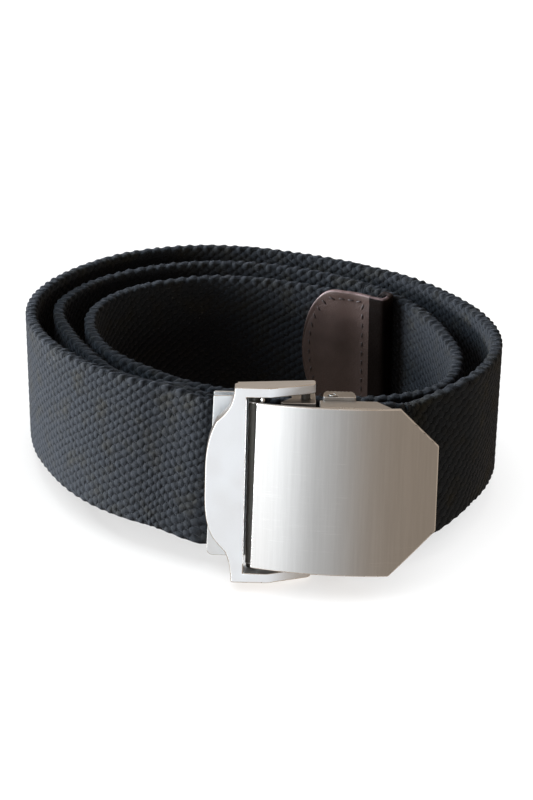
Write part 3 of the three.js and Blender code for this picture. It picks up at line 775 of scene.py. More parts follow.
@dataclass
class Webbing:
    """The strap: woven faces with staggered stitches, and a toothed selvage on both edges."""

    route: StrapRoute
    thickness: float = 3.2
    stitch_length: float = 3.45
    stitch_rows: int = 15
    steps_along: int = 8
    steps_across: int = 4
    edge_steps: int = 8
    edge_round: float = 0.9
    face_relief: float = 0.14
    uneven: float = 0.016
    tooth: float = 0.24
    low_tooth: float = 0.14
    pieces: tuple[str, ...] = ("webbing_outer", "webbing_middle", "webbing_inner")

    def section(self) -> dict[str, np.ndarray]:
        """The strap's cross-section as one ring: across, height, outward normal, weave row and edge share."""
        half, out = self.route.half_width, self.thickness / 2
        low = half - self.edge_round
        rows = self.stitch_rows * self.steps_across
        face = np.linspace(-low, low, rows + 1)
        q = np.arange(1, self.edge_steps) / self.edge_steps
        lean = np.cos(math.pi * q)
        across = np.sign(lean) * np.abs(lean) ** 0.62 * out
        rise = low + self.edge_round * np.sin(math.pi * q) ** 0.62
        flat, ones = np.zeros(rows + 1), np.ones(rows + 1)
        last = self.stitch_rows
        return {
            "across": np.concatenate([-out * ones, -across, out * ones, across]),
            "height": np.concatenate([face, rise, face[::-1], -rise]),
            "normal_across": np.concatenate([-ones, -lean, ones, lean]),
            "normal_up": np.concatenate([flat, np.sin(math.pi * q), flat, -np.sin(math.pi * q)]),
            "row": np.concatenate(
                [np.linspace(0, last, rows + 1), last + q / 2, last + 0.5 + np.linspace(0, last, rows + 1),
                 2 * last + 0.5 + q / 2]
            ),
            "edge": np.concatenate([flat, np.sin(math.pi * q) ** 0.4, flat, np.sin(math.pi * q) ** 0.4]),
        }

    def build(self) -> list[bpy.types.Object]:
        """Builds the strap in three stretches that meet on a crest of the weave."""
        total = self.route.length[-1]
        repeats = round(total / self.stitch_length)
        pitch = total / repeats
        cuts = [round(repeats * part / len(self.pieces)) for part in range(len(self.pieces) + 1)]
        finish = WebbingFinish().material()
        made = []
        for name, first, last in zip(self.pieces, cuts, cuts[1:]):
            piece = self._stretch(name, first, last, pitch)
            piece.data.materials.append(finish)
            made.append(own(piece, Slot.WEBBING, "strap"))
        return made

    def _stretch(self, name: str, first: int, last: int, pitch: float) -> bpy.types.Object:
        """Builds the stretch between two repeats of the weave.

        Args:
            name: The piece's name.
            first: The repeat that it starts at.
            last: The repeat that it ends at.
            pitch: The length of one repeat.

        Returns:
            The closed stretch, with its weave map.
        """
        ring = self.section()
        along = np.linspace(first, last, (last - first) * self.steps_along + 1)
        centre, up, side, half = self.route.sample(along * pitch)
        weave = self._wander(along, ring["row"])
        lump = self._lumps(*weave)
        bottom = ring["normal_up"][None, :] < -0.1
        crate = np.cos(math.tau * weave[0]) * np.cos(math.tau * weave[1])
        relief = self.face_relief * (1 - ring["edge"]) * (0.95 * lump + 0.35 * crate - 0.65)
        teeth = np.sign(crate) * np.abs(crate) ** 0.7 - 0.45 + 0.3 * lump
        relief = relief + ring["edge"] * np.where(bottom, self.low_tooth, self.tooth) * teeth
        relief = relief + self.uneven * (1 + 1.6 * ring["edge"]) * self._unevenness(relief.shape, first)
        stretch = (half / self.route.half_width)[:, None]
        across = ring["across"][None, :] + relief * ring["normal_across"]
        height = ring["height"][None, :] * stretch + relief * ring["normal_up"]
        points = centre[:, None] + side[:, None] * across[..., None] + up[:, None] * height[..., None]
        count = len(ring["row"])
        faces = ring_faces(len(along), count)
        end = (len(along) - 1) * count
        caps = [list(range(count))[::-1], list(range(end, end + count))]
        piece = new_mesh(name, points.reshape(-1, 3), faces, caps)
        self._map_weave(piece, *weave, caps)
        return piece

    def _unevenness(self, shape: tuple[int, int], seed: int) -> np.ndarray:
        """A smooth seeded unevenness of the yarn, which fades out where the stretches meet."""
        table = np.random.default_rng(seed).standard_normal(shape)
        for axis in (0, 1):
            table = (np.roll(table, 1, axis) + 2 * table + np.roll(table, -1, axis)) / 4
        steps = np.arange(shape[0])
        fade = np.minimum(1, np.minimum(steps, steps[::-1]) / self.steps_along)
        return np.clip(table / table.std(), -2, 2) * fade[:, None]

    def _wander(self, along: np.ndarray, rows: np.ndarray) -> tuple[np.ndarray, np.ndarray]:
        """The weave coordinates of each point, which wander a little as a real weave does.

        Args:
            along: Repeats along the strap.
            rows: Rows round the section.

        Returns:
            The repeats and the rows, each with a row for each ring.
        """
        u, v = np.meshgrid(along, rows, indexing="ij")
        turn = math.tau * v / (2 * self.stitch_rows + 1)
        sway = 0.5 * np.sin(0.61 * u + 3 * turn) + 0.3 * np.sin(1.73 * u - 7 * turn + 1.1) + 0.2 * np.sin(2.9 * u + 12 * turn)
        heave = 0.5 * np.sin(0.47 * u - 4 * turn + 0.7) + 0.3 * np.sin(1.31 * u + 9 * turn) + 0.2 * np.sin(2.3 * u - 15 * turn)
        return u + 0.11 * sway, v + 0.1 * heave

    @staticmethod
    def _lumps(along: np.ndarray, rows: np.ndarray) -> np.ndarray:
        """The height of the weave, from 0 in the gaps to 1 on a stitch."""
        found = np.zeros_like(along)
        for shift in (0, 0.5):
            wide, high = (((part + shift + 0.5) % 1) - 0.5 for part in (along, rows))
            slanted = wide + STITCH_SLANT * high
            found = np.maximum(found, 1 - (slanted / STITCH_WIDE) ** 2 - (high / STITCH_HIGH) ** 2)
        return np.sqrt(found)

    @staticmethod
    def _map_weave(
        piece: bpy.types.Object, along: np.ndarray, rows: np.ndarray, caps: Sequence[Sequence[int]]
    ) -> None:
        """Writes the weave map: repeats along, and rows round the section."""
        closing = rows[:, :1] + round(float(rows[0, -1] - rows[0, 0]))
        u, v = np.hstack([along, along[:, :1]]), np.hstack([rows, closing])
        corners = [(slice(None, -1), slice(None, -1)), (slice(None, -1), slice(1, None)),
                   (slice(1, None), slice(1, None)), (slice(1, None), slice(None, -1))]
        quads = np.stack([np.stack([table[corner] for corner in corners], -1) for table in (u, v)], -1).reshape(-1, 2)
        flat = np.stack([along, rows], -1).reshape(-1, 2)
        ends = np.array([flat[index] for cap in caps for index in cap])
        layer = piece.data.uv_layers.new(name="weave")
        layer.data.foreach_set("uv", np.vstack([quads, ends]).astype(np.float32).ravel())


@dataclass
class LeatherTab:
    """The leather folded round the strap's free end, with its stitches."""

    route: StrapRoute
    leather: float = 1.2
    half_height: float = 19.7
    length: float = 24
    round_length: float = 11
    strap_thickness: float = 3.2
    rows: int = 34
    stitch_inset: float = 2.3
    stitch_pitch: float = 2.9
    seam_from_fold: float = 4.4
    # How far from the strap's end the faces round the fold wear the painted shade leather.
    shade_reach: float = 2.1
    fold_power: float = 5
    front_lift: float = 0.8
    back_drop: float = 2.2
    drop_length: float = 4

    def reach(self, distance: float) -> float:
        """The flap's half height at a distance from the strap's end."""
        past = max(0.0, distance - (self.length - self.round_length)) / self.round_length
        return self.half_height * math.sqrt(max(0.0, 1 - past * past))

    def lifted(self, height: float, distance: float, angle: float) -> float:
        """A height on the sheet, whose top stands higher on the front flap than on the back one.

        Args:
            height: The height on a sheet that is even above and below.
            distance: How far the place is from the strap's end.
            angle: The angle round the fold.

        Returns:
            The height on the real sheet.
        """
        if height <= 0:
            return height
        past = min(1.0, distance / self.drop_length) if angle > math.pi / 2 else 0.0
        lift = self.front_lift - (self.front_lift + self.back_drop) * past * past * (3 - 2 * past)
        return height * (1 + lift / self.half_height)

    def path(self) -> list[tuple[float, float]]:
        """The sheet's path: distance from the strap's end and the angle round the fold."""
        ease = [self.length - self.round_length * (1 - math.cos(step * math.pi / 36)) for step in range(1, 19)]
        flap = [self.length - 0.08, *ease, *np.linspace(self.length - self.round_length - 1.2, 0.4, 12)]
        flap += [self.shade_reach, self.shade_reach + 0.5]
        flap = sorted({round(float(value), 4) for value in flap}, reverse=True)
        fold = [(0.0, step * math.pi / 20) for step in range(21)]
        return [(distance, 0.0) for distance in flap] + fold + [(distance, math.pi) for distance in reversed(flap)]

    def frame_at(self, distance: float, angle: float) -> tuple[np.ndarray, np.ndarray, np.ndarray]:
        """The strap's middle, up and the sheet's outward direction at a place of the path."""
        total = self.route.length[-1]
        centre, up, side, _ = self.route.sample(np.array([total - distance]))
        along = np.cross(up[0], side[0])
        cosine, sine = math.cos(angle), math.sin(angle)
        square = (abs(cosine) ** self.fold_power + abs(sine) ** self.fold_power) ** (-1 / self.fold_power)
        outward = (side[0] * cosine + along * sine) * square
        return centre[0], up[0], outward

    def section(self, height: float, distance: float) -> list[tuple[float, float, float]]:
        """A ring of the sheet: height, distance out of the strap's middle, and the rim share."""
        near = self.strap_thickness / 2 + CLEARANCE
        far = near + self.leather
        soft = min(0.45, height * 0.3)
        ring = []
        for step in range(self.rows + 1):
            at = -1 + 2 * step / self.rows
            crease = 0.16 * math.exp(-(((height - abs(at) * height) - self.stitch_inset) / 0.5) ** 2)
            ring.append((at * (height - soft), far - crease, 0.0))
        rim = [(0.38, 0.12, 0.5), (0.75, 0.38, 1), (0.96, 0.72, 1), (1, 1.1, 1)]
        side = [(height - soft + soft * out, far - soft * down, share) for out, down, share in rim]
        foot = [(height, near + 0.1, 1.0), (height - soft * 0.5, near, 0.4)]
        ring += side + foot
        ring += [(at * (height - soft), near, 0.0) for at in (0.6, 0.2, -0.2, -0.6)]
        ring += [(-h, out, share) for h, out, share in reversed(side + foot)]
        return ring

    def build(self) -> list[bpy.types.Object]:
        """Builds the folded sheet and its stitches."""
        points, shares = [], []
        for distance, angle in self.path():
            centre, up, outward = self.frame_at(distance, angle)
            height = max(self.reach(distance), 1.2)
            # Painted shade: the pale rim on the back flap is darkened to 0.12.
            rim_shade_factor = 1.0 if angle < math.pi / 2 else 0.12
            for h, out, share in self.section(height, distance):
                points.append(centre + up * self.lifted(h, distance, angle) + outward * out)
                shares.append(share * rim_shade_factor)
        count = len(self.section(10, 10))
        rings = len(self.path())
        faces = ring_faces(rings, count)
        end = (rings - 1) * count
        caps = [list(range(count))[::-1], list(range(end, end + count))]
        piece = new_mesh("leather_tab", np.array(points), faces, caps)
        self._face_out(piece)
        shares = np.array(shares, np.float32)
        shares[:count] = 1
        rim = piece.data.attributes.new("rim", "FLOAT", "POINT")
        rim.data.foreach_set("value", shares)
        # The faces round the fold wear the painted shade leather, index 1.
        folded = [distance <= self.shade_reach for distance, _ in self.path()]
        dark = [int(here and there) for here, there in zip(folded, folded[1:]) for _ in range(count)]
        wear(piece, LEATHER, FOLD_SHADE)
        piece.data.polygons.foreach_set("material_index", dark + [0] * len(caps))
        return [own(piece, Slot.LEATHER, "tip_tab"), own(self._stitches(), Slot.LEATHER)]

    @staticmethod
    def _face_out(piece: bpy.types.Object) -> None:
        """Turns the faces outwards."""
        activate(piece)
        bpy.ops.object.mode_set(mode="EDIT")
        bpy.ops.mesh.select_all(action="SELECT")
        bpy.ops.mesh.normals_make_consistent(inside=False)
        bpy.ops.object.mode_set(mode="OBJECT")

    def seam(self) -> list[tuple[float, float]]:
        """The stitch places on a flap: distance from the strap's end and height, evenly spaced."""
        inset, high = self.stitch_inset, self.half_height - self.stitch_inset
        line = [(self.seam_from_fold, float(height)) for height in np.linspace(-high, high, 60)]
        reach = self.length - inset
        start = self.length - self.round_length
        line += [(float(at), high) for at in np.linspace(self.seam_from_fold, start, 30)[1:]]
        for step in range(1, 60):
            angle = step * math.pi / 60
            line.append((start + (reach - start) * math.sin(angle), high * math.cos(angle)))
        line += [(float(at), -high) for at in np.linspace(start, self.seam_from_fold, 30)[:-1]]
        line = np.array(line)
        steps = np.concatenate([[0], np.cumsum(np.linalg.norm(np.diff(line, axis=0), axis=1))])
        spots = np.arange(self.stitch_pitch / 2, steps[-1], self.stitch_pitch)
        return [(float(np.interp(s, steps, line[:, 0])), float(np.interp(s, steps, line[:, 1]))) for s in spots]

    def _stitches(self) -> bpy.types.Object:
        """Models one stitch and copies it along the seam of both flaps."""
        deselect_all()
        bpy.ops.mesh.primitive_uv_sphere_add(segments=8, ring_count=6, radius=1)
        first = bpy.context.active_object
        bpy.ops.object.mode_set(mode="EDIT")
        bpy.ops.mesh.select_all(action="SELECT")
        bpy.ops.transform.resize(value=(0.95, 0.3, 0.3))
        bpy.ops.object.mode_set(mode="OBJECT")
        bpy.ops.object.shade_smooth()
        out = self.strap_thickness / 2 + CLEARANCE + self.leather - 0.06
        spots = self.seam()
        copies = []
        for angle in (0.0, math.pi):
            for index, (distance, height) in enumerate(spots):
                before, after = spots[index - 1], spots[(index + 1) % len(spots)]
                centre, up, outward = self.frame_at(distance, angle)
                along = np.cross(outward, up) * (-1 if angle else 1)
                run = along * (before[0] - after[0]) + up * (after[1] - before[1])
                run = Vector(run).normalized()
                normal = Vector(outward)
                cross = normal.cross(run)
                turn = Matrix((run, cross, normal)).transposed().to_4x4()
                rise = self.lifted(height, distance, angle)
                at = Matrix.Translation(Vector(centre + up * rise + outward * out))
                copy = first.copy()
                copy.data = first.data.copy()
                copy.data.transform(Matrix.Scale(MM, 4) @ at @ turn)
                bpy.context.scene.collection.objects.link(copy)
                copies.append(copy)
        bpy.data.objects.remove(first)
        deselect_all()
        for copy in copies:
            copy.select_set(True)
        bpy.context.view_layer.objects.active = copies[0]
        bpy.ops.object.join()
        thread = bpy.context.active_object
        thread.name = "tab_stitches"
        wear(thread, ThreadFinish())
        return thread


@dataclass
class Bracket:
    """The C-shaped frame in front of the strap, with its lug and two arms."""

    half_height: float = 26.5
    arm: float = 2.65
    bar_right: float = 3.2
    depth: float = 5.2
    arm_front: float = 9.6
    arm_end: float = 21.2
    lug_reach: float = 7.3
    shoulder: Point3 = (-4.5, 17.4, 15.0)
    neck: Point3 = (-1.8, 20.2, 18.0)
    tip_front: float = 6.4
    tip_back: float = 10.4
    root_back: float = 6.6
    pivot: Point = (18.6, -7.4)
    pivot_hole: float = 1.5
    pivot_bore: float = 26.1
    rim: float = 0.3

    def face_outline(self) -> list[Point]:
        """The outline of the front face: lug, bar and the arms' front ends."""
        top, slot = self.half_height, self.half_height - self.arm
        line: list[Point] = [
            (self.arm_front, top), (self.arm_front, slot), (self.bar_right, slot),
            (self.bar_right, -slot), (self.arm_front, -slot), (self.arm_front, -top), (0.5, -top),
        ]
        line += arc_points((0.5, -top), (0, -top), (0, 0.5 - top), 4)
        neck_low, shoulder_low = (self.neck[0], -self.neck[2]), (self.shoulder[0], -self.shoulder[2])
        line += arc_points((0, 0.5 - top), (-0.2, -self.neck[2] - 3), neck_low, 12)
        line += arc_points(neck_low, (-3.3, -self.neck[2] + 1.6), shoulder_low, 5)
        line += arc_points(shoulder_low, (-self.lug_reach, 3.8 - self.shoulder[2]), (-self.lug_reach, -3), 14)
        line.append((-self.lug_reach, 4))
        shoulder_top, neck_top = (self.shoulder[0], self.shoulder[1]), (self.neck[0], self.neck[1])
        line += arc_points((-self.lug_reach, 4), (-self.lug_reach, self.shoulder[1] - 5), shoulder_top, 14)
        line += arc_points(shoulder_top, (-3.0, self.neck[1] - 1.6), neck_top, 5)
        line += arc_points(neck_top, (-0.2, self.neck[1] + 2.2), (0, top - 0.5), 12)
        line += arc_points((0, top - 0.5), (0, top), (0.5, top), 4)
        return line

    def arm_plan(self) -> list[Point]:
        """An arm's plan, across and backwards."""
        end, front, back = self.arm_end, self.tip_front, self.tip_back
        plan: list[Point] = [(0.6, 0), (self.arm_front, 0), (end - 1, front - 0.8)]
        plan += arc_points((end - 1, front - 0.8), (end, front), (end, front + 1), 5)
        plan.append((end, back - 1))
        plan += arc_points((end, back - 1), (end, back), (end - 1, back), 5)
        plan.append((0.6, self.root_back))
        return plan

    def build(self) -> bpy.types.Object:
        """Traces the face and both arms, joins them, bores them and rounds the rims."""
        face = [(across, up, -self.depth) for across, up in self.face_outline()]
        bracket = trace("buckle_bracket", face, (0, 0, self.depth))
        wear(bracket, CAST, RIM)
        low = self.half_height - self.arm
        for start in (low, -self.half_height):
            work(bracket, trace_plan("arm", self.arm_plan(), start, start + self.arm), Cut.JOIN)
        work(bracket, add_bar("bore", self.pivot, self.pivot_hole, -self.pivot_bore, self.pivot_bore), Cut.TAKE_AWAY)
        tidy_faces(bracket)
        soften(bracket, self.rim, 3, 1)
        return seat(bracket, Slot.CAST, "bracket")


@dataclass
class FacePlate:
    """The curved plate that covers the buckle, with cut corners and two flanges behind it."""

    left: float = 5.8
    right: float = 53.4
    half_height: float = 22.7
    thickness: float = 1.3
    radius: float = 68
    crown: float = 5.2
    cut_top: Point = (10.4, 12.4)
    cut_bottom: Point = (12.0, 11.0)
    skew: Point = (0.7, 0.6)
    flange_left: float = 22.2
    flange_right: float = 40.6
    flange_back: float = -3.8
    flange_slope: float = 3.4
    columns: int = 64
    rows: int = 40
    rim: float = 0.3
    flange_rim: float = 0.2

    def forward(self, across: float) -> float:
        """How far forward the outer face lies."""
        middle = (self.left + self.right) / 2
        return self.crown - self.radius + math.sqrt(self.radius**2 - (across - middle) ** 2)

    def build(self) -> bpy.types.Object:
        """Bends, cuts and thickens a grid, rounds its rim and joins the flanges."""
        plate = self._sheet()
        wear(plate, BrushedFinish(), RIM)
        soften(plate, self.rim, 3, 1)
        front = self.forward(self.flange_right) - self.thickness / 2
        inner = self.half_height - self.thickness
        slope = self.flange_right - self.flange_slope
        plan = [(self.flange_left, -front), (self.flange_right, -front)]
        plan += [(self.flange_right, -front - self.flange_back / 4), (slope, -self.flange_back)]
        plan.append((self.flange_left, -self.flange_back))
        for low, high in ((inner, self.half_height), (0.2 - self.half_height, 0.2 - inner)):
            flange = trace_plan("flange", plan, low, high)
            wear(flange, BrushedFinish(), RIM)
            soften(flange, self.flange_rim, 2, 1)
            work(plate, flange, Cut.JOIN)
        level(plate)
        return seat(plate, Slot.PLATE, "face_plate")

    def _sheet(self) -> bpy.types.Object:
        """The curved sheet without its flanges."""
        deselect_all()
        wide, high = self.right - self.left, 2 * self.half_height
        bpy.ops.mesh.primitive_grid_add(
            x_subdivisions=self.columns, y_subdivisions=self.rows, size=1, location=((self.left + self.right) / 2, 0, 0)
        )
        plate = bpy.context.active_object
        plate.name = "curved_face_plate"
        plate.scale = (wide, high, 1)
        bpy.ops.object.transform_apply(location=True, rotation=True, scale=True)
        bpy.ops.object.mode_set(mode="EDIT")
        for across_cut, up_cut, sign in ((*self.cut_top, 1), (*self.cut_bottom, -1)):
            bpy.ops.mesh.select_all(action="SELECT")
            corner = (self.right - across_cut, sign * self.half_height, 0)
            outward = (up_cut, sign * across_cut, 0)
            bpy.ops.mesh.bisect(plane_co=corner, plane_no=outward, clear_outer=True)
        bpy.ops.mesh.select_all(action="SELECT")
        bpy.ops.mesh.remove_doubles(threshold=0.08)
        edit = bmesh.from_edit_mesh(plate.data)
        for vertex in edit.verts:
            across, up = vertex.co.x, vertex.co.y
            vertex.co.z = self.forward(across) - self.thickness
            share = (self.right - across) / wide
            below = max(0.0, 0.5 - up / high)
            vertex.co.x = across - share * self.skew[0] * below
            vertex.co.y = up + share * self.skew[1] * below
        bmesh.update_edit_mesh(plate.data)
        bpy.ops.mesh.select_all(action="SELECT")
        bpy.ops.mesh.extrude_region_move(TRANSFORM_OT_translate={"value": (0, 0, self.thickness)})
        bpy.ops.mesh.select_all(action="SELECT")
        bpy.ops.mesh.normals_make_consistent(inside=False)
        bpy.ops.object.mode_set(mode="OBJECT")
        return plate


@dataclass
class Cam:
    """The toothed cam under the plate, and its pin."""

    left: float = 23.1
    right: float = 31.7
    front: float = 4.1
    back: float = 10.7
    half_height: float = 23.6
    teeth: int = 7
    tooth_depth: float = 0.5
    pin: Point = (25.6, -5.6)
    pin_radius: float = 1.1
    pin_wall: float = 0.34
    pin_dish: float = 0.8

    def plan(self) -> list[Point]:
        """The cam's plan: a flat front, round shoulders and teeth along its back."""
        pitch = (self.right - self.left - 1.6) / self.teeth
        base = self.back - self.tooth_depth
        plan: list[Point] = [(self.left + 0.6, self.front), (self.right - 0.6, self.front)]
        plan += arc_points(plan[-1], (self.right, self.front), (self.right, self.front + 0.6), 4)
        plan += arc_points(plan[-1], (self.right, self.back - 2.4), (self.right - 0.8, base + 0.02), 8)
        for tooth in range(self.teeth):
            start = self.right - 0.8 - tooth * pitch
            plan += [(start - pitch / 2, self.back), (start - pitch, base)]
        plan += arc_points(plan[-1], (self.left, self.back - 2.4), (self.left, self.front + 0.6), 8)
        plan += arc_points(plan[-1], (self.left, self.front), (self.left + 0.59, self.front), 4)
        return plan

    def build(self) -> list[bpy.types.Object]:
        """Builds the cam with its bore, and the pin with round ends."""
        cam = trace_plan("cam_block", self.plan(), -self.half_height, self.half_height)
        wear(cam, INNER, RIM)
        work(cam, add_bar("bore", self.pin, self.pin_radius + CLEARANCE, -30, 30), Cut.TAKE_AWAY)
        tidy_faces(cam)
        soften(cam, 0.16, 2, 1)
        reach = self.half_height + 0.3
        pin = add_bar("cam_spindle", self.pin, self.pin_radius, -reach, reach)
        wear(pin, INNER, RIM)
        dish(pin, self.pin_wall, self.pin_dish)
        soften(pin, 0.1, 3, 1)
        return [seat(cam, Slot.INNER, "toothed_cam"), seat(pin, Slot.INNER, "cam_pin")]


@dataclass
class BackFrame:
    """The frame behind the strap: two legs and a crossbar, with its pivots and the hinge bar."""

    leg_top: float = 22.2
    sheet: float = 1.2
    left: float = 12.0
    right: float = 21.2
    front: float = 2.2
    back: float = 17.6
    pivot: Point = (18.6, -7.4)
    pivot_radius: float = 1.2
    pin_reach: float = 25.8
    hinge_reach: float = 23.55
    hinge_radius: float = 1.5

    def plan(self) -> list[Point]:
        """A leg's plan, across and backwards."""
        plan: list[Point] = [(self.left + 0.8, self.front), (self.right - 0.8, self.front)]
        plan += arc_points(plan[-1], (self.right, self.front), (self.right, self.front + 0.8), 4)
        plan += [(self.right, self.back), (self.left + 3, self.back), (self.left + 3, self.front + 6)]
        plan.append((self.left, self.front + 0.8))
        plan += arc_points(plan[-1], (self.left, self.front), (self.left + 0.79, self.front), 4)
        return plan

    def build(self) -> list[bpy.types.Object]:
        """Builds the frame, its two pivot pins and the hinge bar."""
        inner = self.leg_top - self.sheet
        legs = trace_plan("retaining_frame", self.plan(), inner, self.leg_top)
        wear(legs, INNER, RIM)
        work(legs, trace_plan("leg", self.plan(), -self.leg_top, -inner), Cut.JOIN)
        low = (self.left + 3, -inner - 0.2, -self.back)
        crossbar = add_block("crossbar", low, (self.right, inner + 0.2, self.sheet - self.back))
        work(legs, crossbar, Cut.JOIN)
        work(legs, add_bar("bore", self.pivot, self.pivot_radius + CLEARANCE, -30, 30), Cut.TAKE_AWAY)
        tidy_faces(legs)
        soften(legs, 0.2, 2, 1)
        made = [seat(legs, Slot.INNER, "back_frame")]
        start = inner - 0.2
        bars = (
            ("pivot_stud_top", "pivot_pin_top", self.pivot, self.pivot_radius, start, self.pin_reach),
            ("pivot_stud_bottom", "pivot_pin_bottom", self.pivot, self.pivot_radius, -self.pin_reach, -start),
            ("hinge_rod", "hinge_bar", (HINGE_ACROSS, HINGE_FORWARD), self.hinge_radius, -self.hinge_reach, self.hinge_reach),
        )
        for name, node, at, radius, bottom, top in bars:
            bar = add_bar(name, at, radius, bottom, top)
            # The bars wear the painted shade metal.
            wear(bar, SHADED_METAL)
            soften(bar, 0.3, 4)
            made.append(seat(bar, Slot.INNER, node))
        return made


@dataclass
class EndClip:
    """The metal clip crimped on the strap's end and hooked round the hinge bar."""

    half_height: float = 22.0
    sheet: float = 0.7
    left_top: float = -5.6
    left_bottom: float = -6.7
    corner: float = 2
    right: float = 3.6
    strap_forward: float = -12.0
    strap_thickness: float = 3.2
    hinge_radius: float = 1.5

    def channel_plan(self) -> list[Point]:
        """The two leaves and the fold between them."""
        middle = -self.strap_forward
        inside = self.strap_thickness / 2 + CLEARANCE
        outside = inside + self.sheet
        left, right, inner = self.left_bottom, self.right, self.right - self.sheet
        plan: list[Point] = [(left, middle - outside), (right - 1, middle - outside)]
        plan += arc_points(plan[-1], (right, middle - outside), (right, middle - outside + 1), 5)
        plan.append((right, middle + outside - 1))
        plan += arc_points(plan[-1], (right, middle + outside), (right - 1, middle + outside), 5)
        plan += [(left, middle + outside), (left, middle + inside), (inner, middle + inside)]
        plan += [(inner, middle - inside), (left, middle - inside)]
        return plan

    def hook_plan(self) -> list[Point]:
        """The hook round the hinge bar."""
        across, back = HINGE_ACROSS, -HINGE_FORWARD
        inside = self.hinge_radius + CLEARANCE
        outside = inside + self.sheet
        angles = np.linspace(-0.75 * math.pi, 0, 19)
        plan = [(across + outside * math.cos(a), back + outside * math.sin(a)) for a in angles]
        plan += [(across + outside, back + 2.2), (self.right, -self.strap_forward - 0.5)]
        plan += [(self.right - self.sheet, -self.strap_forward - 1.2), (across + inside, back + 1.6)]
        plan += [(across + inside * math.cos(a), back + inside * math.sin(a)) for a in angles[::-1]]
        return plan

    def front_outline(self) -> list[Point]:
        """The leaves seen from the front, with round left corners."""
        high, far = self.half_height, self.right + 1
        line: list[Point] = [(far, high), (self.left_top + 0.6, high)]
        line += arc_points(line[-1], (self.left_top, high), (self.left_top, high - 0.6), 4)
        line.append((self.left_bottom, self.corner - high))
        line += arc_points(line[-1], (self.left_bottom, -high), (self.left_bottom + self.corner, -high), 8)
        line.append((far, -high))
        return line

    def build(self) -> bpy.types.Object:
        """Builds the channel, trims it to its front outline and joins the hook."""
        high = self.half_height
        clip = trace_plan("strap_clip", self.channel_plan(), -high - 1, high + 1)
        wear(clip, CLIP, RIM, SHADED_METAL)
        front = [(across, up, -20) for across, up in self.front_outline()]
        work(clip, trace("trim", front, (0, 0, 20)), Cut.KEEP_COMMON)
        hook = trace_plan("hook", self.hook_plan(), -high, high)
        wear(hook, CLIP, RIM, SHADED_METAL)
        # The hook wears the painted shade metal.
        hook.data.polygons.foreach_set("material_index", [2] * len(hook.data.polygons))
        work(clip, hook, Cut.JOIN)
        tidy_faces(clip)
        soften(clip, 0.18, 2, 1)
        return seat(clip, Slot.CAST, "end_clip")


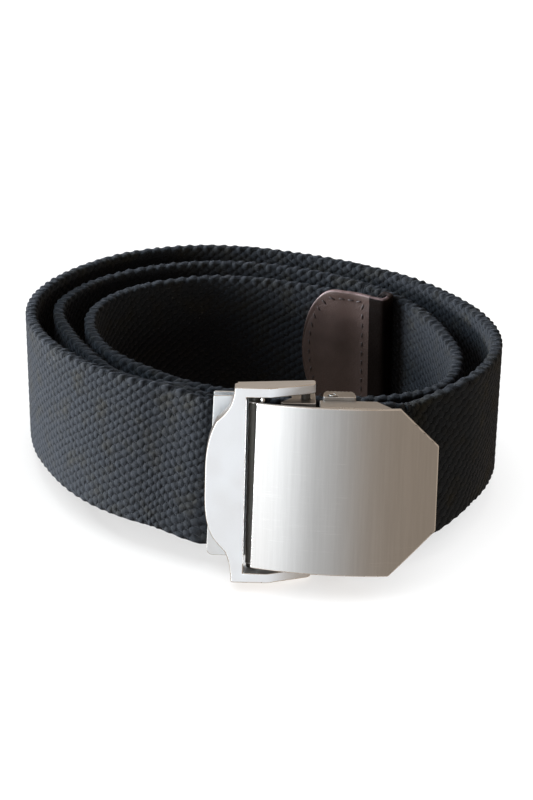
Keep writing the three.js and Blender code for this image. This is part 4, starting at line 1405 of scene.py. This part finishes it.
@dataclass
class Studio:
    """A plain pale floor, soft light and the camera."""

    camera_place: Point3 = (1.852, -610.196, 335.068)
    camera_down: float = 27.181
    lens: float = 108
    floor_size: float = 8
    fill: float = 0.035
    reflected: float = 0.42
    pearl: float = 2.1
    shaded: str = "off_floor_and_buckle"

    def build(self) -> None:
        """Adds the floor, the lights and the camera."""
        deselect_all()
        bpy.ops.mesh.primitive_plane_add(size=self.floor_size, location=(0, 0, -0.0002))
        floor = bpy.context.active_object
        floor.name = "floor"
        graph = Graph("floor")
        tone = graph.noise(graph.place(), 3, 2)
        floor.data.materials.append(
            graph.dress(Base_Color=graph.mix(tone, (0.9, 0.9, 0.9, 1), (0.94, 0.94, 0.94, 1)), Roughness=0.9)
        )
        floor.visible_diffuse = False
        floor.visible_glossy = False
        self._world()
        off_floor = bpy.data.collections.new("off_floor")
        self._leave_out(off_floor, floor)
        shaded = bpy.data.collections.new(self.shaded)
        self._leave_out(shaded, floor)
        key = self._light("key_left", (-1.0, 0.1, 0.06), (0.9, 0.4), 55, (0.92, 0.97, 1))
        side = self._light("fill_right", (0.85, -0.6, 0.14), (0.6, 0.25), 4.6, (1, 0.94, 0.74))
        side.visible_glossy = False
        self._light("top", (-0.3, 0.1, 1.15), (1.1, 0.8), 1.15, (0.82, 0.93, 1))
        sky = self._light("sky_left", (-0.75, 0.1, 0.5), (0.5, 0.4), 7.6, (0.7, 0.88, 1))
        card = self._light("card_left", (-0.62, -0.75, 0.2), (0.7, 0.7), 3.75, (0.93, 0.97, 1))
        front = self._light("card_front", (-0.2, -1.0, 0.12), (0.6, 0.7), 0.66, (0.65, 0.84, 1))
        for light in (side, card, front):
            light.light_linking.receiver_collection = off_floor
        for light in (key, sky):
            light.light_linking.receiver_collection = shaded
        card.visible_diffuse = False
        front.visible_diffuse = False
        self._floor_light(floor)
        self._camera()

    @staticmethod
    def _leave_out(receivers: bpy.types.Collection, piece: bpy.types.Object) -> None:
        """Leaves a piece out of the light of the lamps that use the collection."""
        receivers.objects.link(piece)
        receivers.collection_objects[-1].light_linking.link_state = "EXCLUDE"

    def shade(self, *pieces: bpy.types.Object) -> None:
        """Keeps the side light off pieces that stand in the buckle's shadow."""
        for piece in pieces:
            self._leave_out(bpy.data.collections[self.shaded], piece)

    def favour(self, *pieces: bpy.types.Object) -> None:
        """Adds a soft card in front that only the pearl-plated pieces reflect."""
        card = self._light("card_pearl", (-0.1, -1.0, 0.1), (0.9, 0.7), self.pearl, (0.84, 0.93, 1))
        group = bpy.data.collections.new("pearl_pieces")
        for piece in pieces:
            group.objects.link(piece)
        card.light_linking.receiver_collection = group
        card.visible_diffuse = False

    def _world(self) -> None:
        """Sets the even light from all round, and the warm room that the metal reflects."""
        world = bpy.data.worlds.new("studio")
        world.use_nodes = True
        tree = world.node_tree
        even = tree.nodes["Background"]
        even.inputs["Color"].default_value = (1, 0.97, 0.94, 1)
        even.inputs["Strength"].default_value = self.fill
        room = tree.nodes.new("ShaderNodeBackground")
        room.inputs["Color"].default_value = (1, 0.81, 0.64, 1)
        room.inputs["Strength"].default_value = self.reflected
        path = tree.nodes.new("ShaderNodeLightPath")
        choice = tree.nodes.new("ShaderNodeMixShader")
        tree.links.new(path.outputs["Is Glossy Ray"], choice.inputs[0])
        tree.links.new(even.outputs[0], choice.inputs[1])
        tree.links.new(room.outputs[0], choice.inputs[2])
        tree.links.new(choice.outputs[0], tree.nodes["World Output"].inputs["Surface"])
        bpy.context.scene.world = world

    def _floor_light(self, floor: bpy.types.Object) -> None:
        """Adds an even light that falls on the floor alone."""
        light = self._light("floor_light", (0, 0, 2.5), (8, 8), 320, (1, 1, 1))
        light.visible_glossy = False
        group = bpy.data.collections.new("floor_only")
        group.objects.link(floor)
        light.light_linking.receiver_collection = group
        light.light_linking.blocker_collection = group

    @staticmethod
    def _light(name: str, place: Point3, size: Point, power: float, colour: Point3) -> bpy.types.Object:
        """Adds a soft rectangular light that faces the belt.

        Args:
            name: The light's name.
            place: Where it stands, in metres.
            size: Its width and height.
            power: Its power in watts.
            colour: Its colour.

        Returns:
            The light.
        """
        data = bpy.data.lights.new(name, "AREA")
        data.shape = "RECTANGLE"
        data.size, data.size_y = size
        data.energy = power
        data.color = colour
        light = bpy.data.objects.new(name, data)
        light.location = place
        light.rotation_euler = (Vector((0, 0, 0.02)) - Vector(place)).to_track_quat("-Z", "Y").to_euler()
        bpy.context.scene.collection.objects.link(light)
        return light

    def _camera(self) -> None:
        """Adds the camera at the photograph's viewpoint."""
        data = bpy.data.cameras.new("camera")
        data.lens = self.lens
        data.sensor_width = 36
        data.sensor_fit = "AUTO"
        data.clip_start = 0.05
        data.clip_end = 50
        camera = bpy.data.objects.new("camera", data)
        camera.location = Vector(self.camera_place) * MM
        camera.rotation_euler = (math.radians(90 - self.camera_down), 0, 0)
        bpy.context.scene.collection.objects.link(camera)
        bpy.context.scene.camera = camera
        bpy.context.scene.view_settings.view_transform = "Standard"


def main() -> None:
    """Builds the belt piece by piece, and the studio round it."""
    logging.basicConfig(level=logging.INFO, format="%(name)s %(message)s")
    route = StrapRoute()
    LOG.info("the strap is %.0f mm long", route.length[-1])
    studio = Studio()
    studio.build()
    Webbing(route).build()
    LeatherTab(route).build()
    bracket = Bracket().build()
    FacePlate().build()
    Cam().build()
    inner = BackFrame().build()
    EndClip().build()
    studio.favour(bracket)
    studio.shade(bracket, *inner)


if __name__ == "__main__":
    main()
